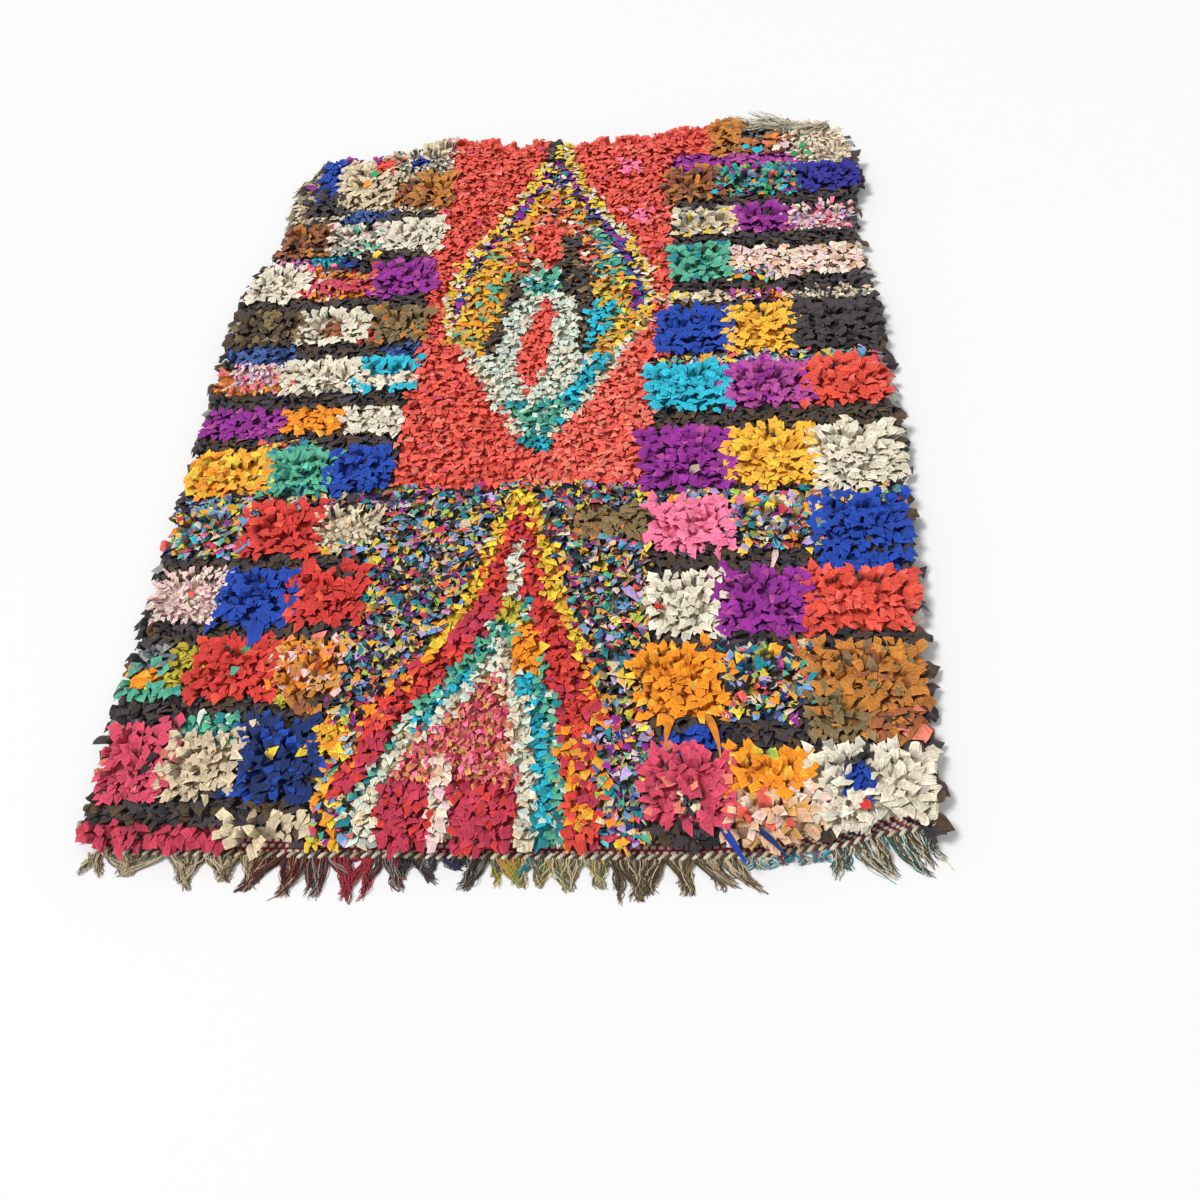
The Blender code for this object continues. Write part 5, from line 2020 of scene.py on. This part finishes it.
@dataclass
class WarpFringe:
    """Loose warp yarns in bunches, which lie on the floor beyond an edge."""

    name: str
    node: str
    spacing: float = 0.0108
    yarns: int = 18
    rings: int = 9
    radius: float = 0.00115
    bunch: float = 0.0075
    wave: float = 0.0085
    rest: float = 0.0012
    stack: float = 0.0062
    climb: float = 0.0
    fall: float = 0.0
    shortest: float = 0.50
    shade: float = 0.16

    def draw(
        self,
        roots: np.ndarray,
        outward: np.ndarray,
        reach: np.ndarray,
        lean: np.ndarray,
        toward: np.ndarray,
        dyes: list[tuple[Dye, ...]],
        chance: Chance,
    ) -> Thing:
        """Draws a bunch of yarns from each root.

        Args:
            roots: Where the bunches start.
            outward: The way each bunch goes, level.
            reach: How far each bunch reaches.
            lean: How far each bunch's tips lean aside, as a share of its reach.
            toward: How far aside the middle of each bunch's lock lies.
            dyes: Each bunch's dyes.
            chance: The random source.

        Returns:
            The joined yarns.
        """
        count = len(roots)
        share = np.linspace(0, 1, self.rings)
        each = np.repeat(np.arange(count), self.yarns)
        many = len(each)
        sideways = np.stack([-outward[:, 1], outward[:, 0]], -1)[each]
        long = (reach[each] * chance.uniform(self.shortest, 1.0, many))[:, None]
        start = chance.uniform(-1, 1, many)[:, None] * self.bunch
        frayed = chance.random(count)[each][:, None]
        tip = chance.normal(0, 0.30, many)[:, None] * self.bunch * (1 + frayed)
        gather = smooth(0.0, 0.60, share) * (1 - 0.40 * frayed * smooth(0.7, 1.0, share))
        phase, waves = chance.uniform(0, math.tau, (2, many))[:, :, None]
        bunch_phase = chance.uniform(0, math.tau, count)[each][:, None]
        aside = start * (1 - gather) + tip * gather + toward[each][:, None] * smooth(0.05, 0.85, share)
        aside = aside + self.wave * share * np.sin(share * 4.5 + bunch_phase)
        aside = aside + self.wave * 0.55 * share * np.sin(share * (6 + waves * 0.9) + phase)
        aside = aside + lean[each][:, None] * long * share ** 1.4
        ahead = long * (share - 0.06 * share ** 2)
        stack = chance.uniform(0, self.stack, many)[:, None]
        height = self.rest + stack * (1 - 0.75 * smooth(0.5, 1.0, share)) + 0.0022 * (1 - share) ** 3
        height = height + self.climb * smooth(0.0, 0.25, share) * (1 - self.fall * smooth(0.40, 0.90, share))
        flat = roots[each][:, None, :2] + outward[each][:, None] * ahead[..., None]
        flat = flat + sideways[:, None] * aside[..., None]
        lines = np.concatenate([flat, np.broadcast_to(height, ahead.shape)[..., None]], -1)
        radii = self.radius * chance.uniform(0.75, 1.25, many)[:, None] * (1 - 0.55 * share ** 3)
        picked = np.array([linear(dyes[index][chance.integers(len(dyes[index]))]) for index in each])
        picked = np.clip(picked * np.exp(chance.normal(0, self.shade, (many, 1))), 0, 1)
        colours = np.repeat(picked[:, None], self.rings, axis=1)
        thing = YarnMesh(4, self.rings).build(self.name, lines, radii, colours)
        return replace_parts(thing, self.node)


@dataclass
class NearFringe(WarpFringe):
    """The fringe beyond the twined edge, in runs of unlike length and colour, gathered in locks."""

    name: str = "near_warp_ends"
    node: str = "near_fringe"
    stray: float = 0.0015
    new_lock: float = 0.42
    gathered: float = 0.85
    shortest_lock: float = 0.72
    run_lean: float = 0.8
    lock_lean: float = 0.14

    def build(self, edge: TwinedEdge, chance: Chance) -> Thing:
        """Draws the fringe.

        Args:
            edge: The twined edge that it hangs from.
            chance: The random source.

        Returns:
            The joined yarns.
        """
        left, right = LEFT_EDGE[0][1], RIGHT_EDGE[0][1]
        across = np.arange(left + 0.004, right - 0.002, self.spacing)
        across = across + chance.normal(0, self.stray, len(across))
        runs = [max(run for run in NEAR_FRINGE if run.left <= max(x, NEAR_FRINGE[0].left)) for x in across]
        near = along_edge(NEAR_EDGE, across) - edge.gap - edge.width * 0.75 - ORIGIN_ALONG
        roots = np.stack([across, near, np.zeros(len(across))], -1)
        outward = np.tile([0.0, -1.0], (len(across), 1))
        locks = np.cumsum(chance.random(len(across)) < self.new_lock)
        middles = np.array([across[locks == lock].mean() for lock in locks])
        count = locks[-1] + 1
        reach = np.array([run.reach for run in runs]) * chance.uniform(self.shortest_lock, 1.0, count)[locks]
        lean = np.array([run.lean for run in runs]) * self.run_lean
        lean = lean + chance.normal(0, self.lock_lean, count)[locks]
        toward = (middles - across) * self.gathered
        return self.draw(roots, outward, reach, lean, toward, [run.dyes for run in runs], chance)


@dataclass(kw_only=True)
class CornerFringe(WarpFringe):
    """Loose warp ends at a far corner, from a stretch of the left edge or of the far edge."""

    stretch: tuple[float, float]
    is_side: bool = False
    inset: float = 0.006
    stray: float = 0.0
    heading: float
    swing: float = 0.35
    reaches: tuple[float, float]
    tip_lean: float = 0.4
    dyes: tuple[Dye, ...]

    def build(self, chance: Chance) -> Thing:
        """Draws the ends.

        Args:
            chance: The random source.

        Returns:
            The joined yarns.
        """
        at = np.arange(*self.stretch, self.spacing)
        count = len(at)
        if self.stray:
            at = at + chance.normal(0, self.stray, count)
        if self.is_side:
            across, along = along_edge(LEFT_EDGE, at) + self.inset, at
        else:
            across, along = at, along_edge(FAR_EDGE, at) - self.inset
        roots = np.stack([across, along - ORIGIN_ALONG, np.zeros(count)], -1)
        angle = math.radians(self.heading) + chance.normal(0, self.swing, count)
        outward = np.stack([np.cos(angle), np.sin(angle)], -1)
        reach = chance.uniform(*self.reaches, count)
        lean = chance.normal(0, self.tip_lean, count)
        return self.draw(roots, outward, reach, lean, np.zeros(count), [self.dyes] * count, chance)


# The last of the three lies back over the pile along the far edge.
CORNER_FRINGES = (
    CornerFringe(
        name="far_left_warp_ends", node="far_left_fringe", spacing=0.011, yarns=17, radius=0.0014, wave=0.015,
        climb=0.022, fall=0.95, stretch=(1.665, 1.86), is_side=True, stray=0.002, heading=180.0,
        reaches=(0.050, 0.080), dyes=TAN_WARPS,
    ),
    CornerFringe(
        name="far_right_warp_ends", node="far_right_fringe", spacing=0.010, yarns=9, wave=0.010,
        stretch=(0.485, 0.70), heading=90.0, reaches=(0.045, 0.070), dyes=CORNER_WARPS,
    ),
    CornerFringe(
        name="far_right_laid_ends", node="far_right_fringe", spacing=0.013, yarns=12, wave=0.014,
        climb=0.034, stretch=(0.53, 0.72), inset=0.012, heading=184.0, swing=0.20,
        reaches=(0.09, 0.15), tip_lean=0.2, dyes=LAID_WARPS,
    ),
)


@dataclass
class HeaderWeave:
    """The bare strip of weave at the near end, in small raised checks of red and cream wefts."""

    columns: int = 560
    rows: int = 12
    inner: float = 0.024
    inset: float = 0.003
    lift: float = 0.0024
    swell: float = 0.0011
    check: tuple[float, float] = (0.0065, 0.0050)
    finer_from: float = 0.43
    depth_tone: float = 0.60
    pale_tone: float = 1.15
    shade: float = 0.1
    turns_per_metre: float = 300.0

    def build(self, chance: Chance) -> Thing:
        """Makes the strip, just above the ground cloth.

        Args:
            chance: The random source.

        Returns:
            The strip.
        """
        bm, places = flat_grid(self.columns, self.rows)
        left, right = LEFT_EDGE[0][1] + self.inset, RIGHT_EDGE[0][1] - self.inset
        across = left + (right - left) * places[:, 0]
        depth = self.inner * places[:, 1]
        waves = np.sin(across / self.check[0] * math.pi) * np.sin(depth / self.check[1] * math.pi)
        height = self.lift + self.swell * np.abs(waves)
        along = along_edge(NEAR_EDGE, across) + depth
        move_points(bm, np.stack([across, along - ORIGIN_ALONG, height], -1))
        thing = object_of(bm, "header_weave")
        point_colour(thing, "dye", self.colours(across, depth, chance))
        corners = corner_points(thing.data)
        point_uv(thing, "yarn", np.stack([depth * self.turns_per_metre, across], -1), corners)
        point_uv(thing, "OFBake", places * 0.98 + 0.01, corners)
        thing.data.shade_smooth()
        return thing

    def colours(self, across: np.ndarray, depth: np.ndarray, chance: Chance) -> np.ndarray:
        """Picks the wefts' colours, with finer checks near the right corner.

        Args:
            across: Where each point lies across the rug.
            depth: How far each point lies from the near edge.
            chance: The random source.

        Returns:
            The points' colours.
        """
        row = np.floor(depth / self.check[1]).astype(int)
        column = np.floor(across / self.check[0]).astype(int)
        finer = across > self.finer_from
        is_pale = np.where(finer, (column + row) % 3 == 0, (row % 2 == 0) & ((column + row // 2) % 2 == 0))
        warm = np.where(finer[:, None], linear(Dye.RED), linear(Dye.CRIMSON)) * self.depth_tone
        is_navy = finer & ((column + row) % 3 == 1)
        dark = np.where(is_navy[:, None], linear(Dye.NAVY), warm)
        colours = np.where(is_pale[:, None], linear(Dye.IVORY) * self.pale_tone, dark)
        return np.clip(colours * np.exp(chance.normal(0, self.shade, (len(across), 1))), 0, 1)


def finish_piece(thing: Thing, material: bpy.types.Material) -> None:
    """Gives a piece its material, and lets it ride on the rug's one body.

    Args:
        thing: The piece.
        material: Its material.
    """
    thing.data.materials.clear()
    thing.data.materials.append(material)
    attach(thing, "root")
    triangles = sum(len(face.vertices) - 2 for face in thing.data.polygons)
    LOG.info("%s: %d triangles", thing.name, triangles)


def main() -> None:
    """Builds the rug's looks, its floor, light and camera."""
    logging.basicConfig(level=logging.INFO, format="%(message)s")
    chance = np.random.default_rng(SEED)
    Studio().build()
    groups = {"weave": weave_group(), "wrinkles": wrinkle_group(), "print": print_group()}
    rag = RagFinish().material(groups)
    yarn = YarnFinish().material()
    chart = Chart()
    ground = GroundCloth()
    cloth = ground.build()
    dye_by_chart(cloth, chart, ground.tone, chance)
    cloth.data.shade_smooth()
    cloth.data.set_sharp_from_angle(angle=math.radians(40))
    finish_piece(cloth, GroundFinish().material(groups))
    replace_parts(cloth, "rag_pile")
    pile = [PileBed(chart).build(ground, chance), *RagPile(chart).build(chance)]
    for piece in pile:
        finish_piece(piece, rag)
    header = HeaderWeave().build(chance)
    finish_piece(header, yarn)
    edge = TwinedEdge()
    twining = edge.build(chance)
    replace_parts(twining, "near_twining")
    finish_piece(twining, yarn)
    fringes = [NearFringe().build(edge, chance), *(fringe.build(chance) for fringe in CORNER_FRINGES)]
    for piece in fringes:
        finish_piece(piece, yarn)


if __name__ == "__main__":
    main()
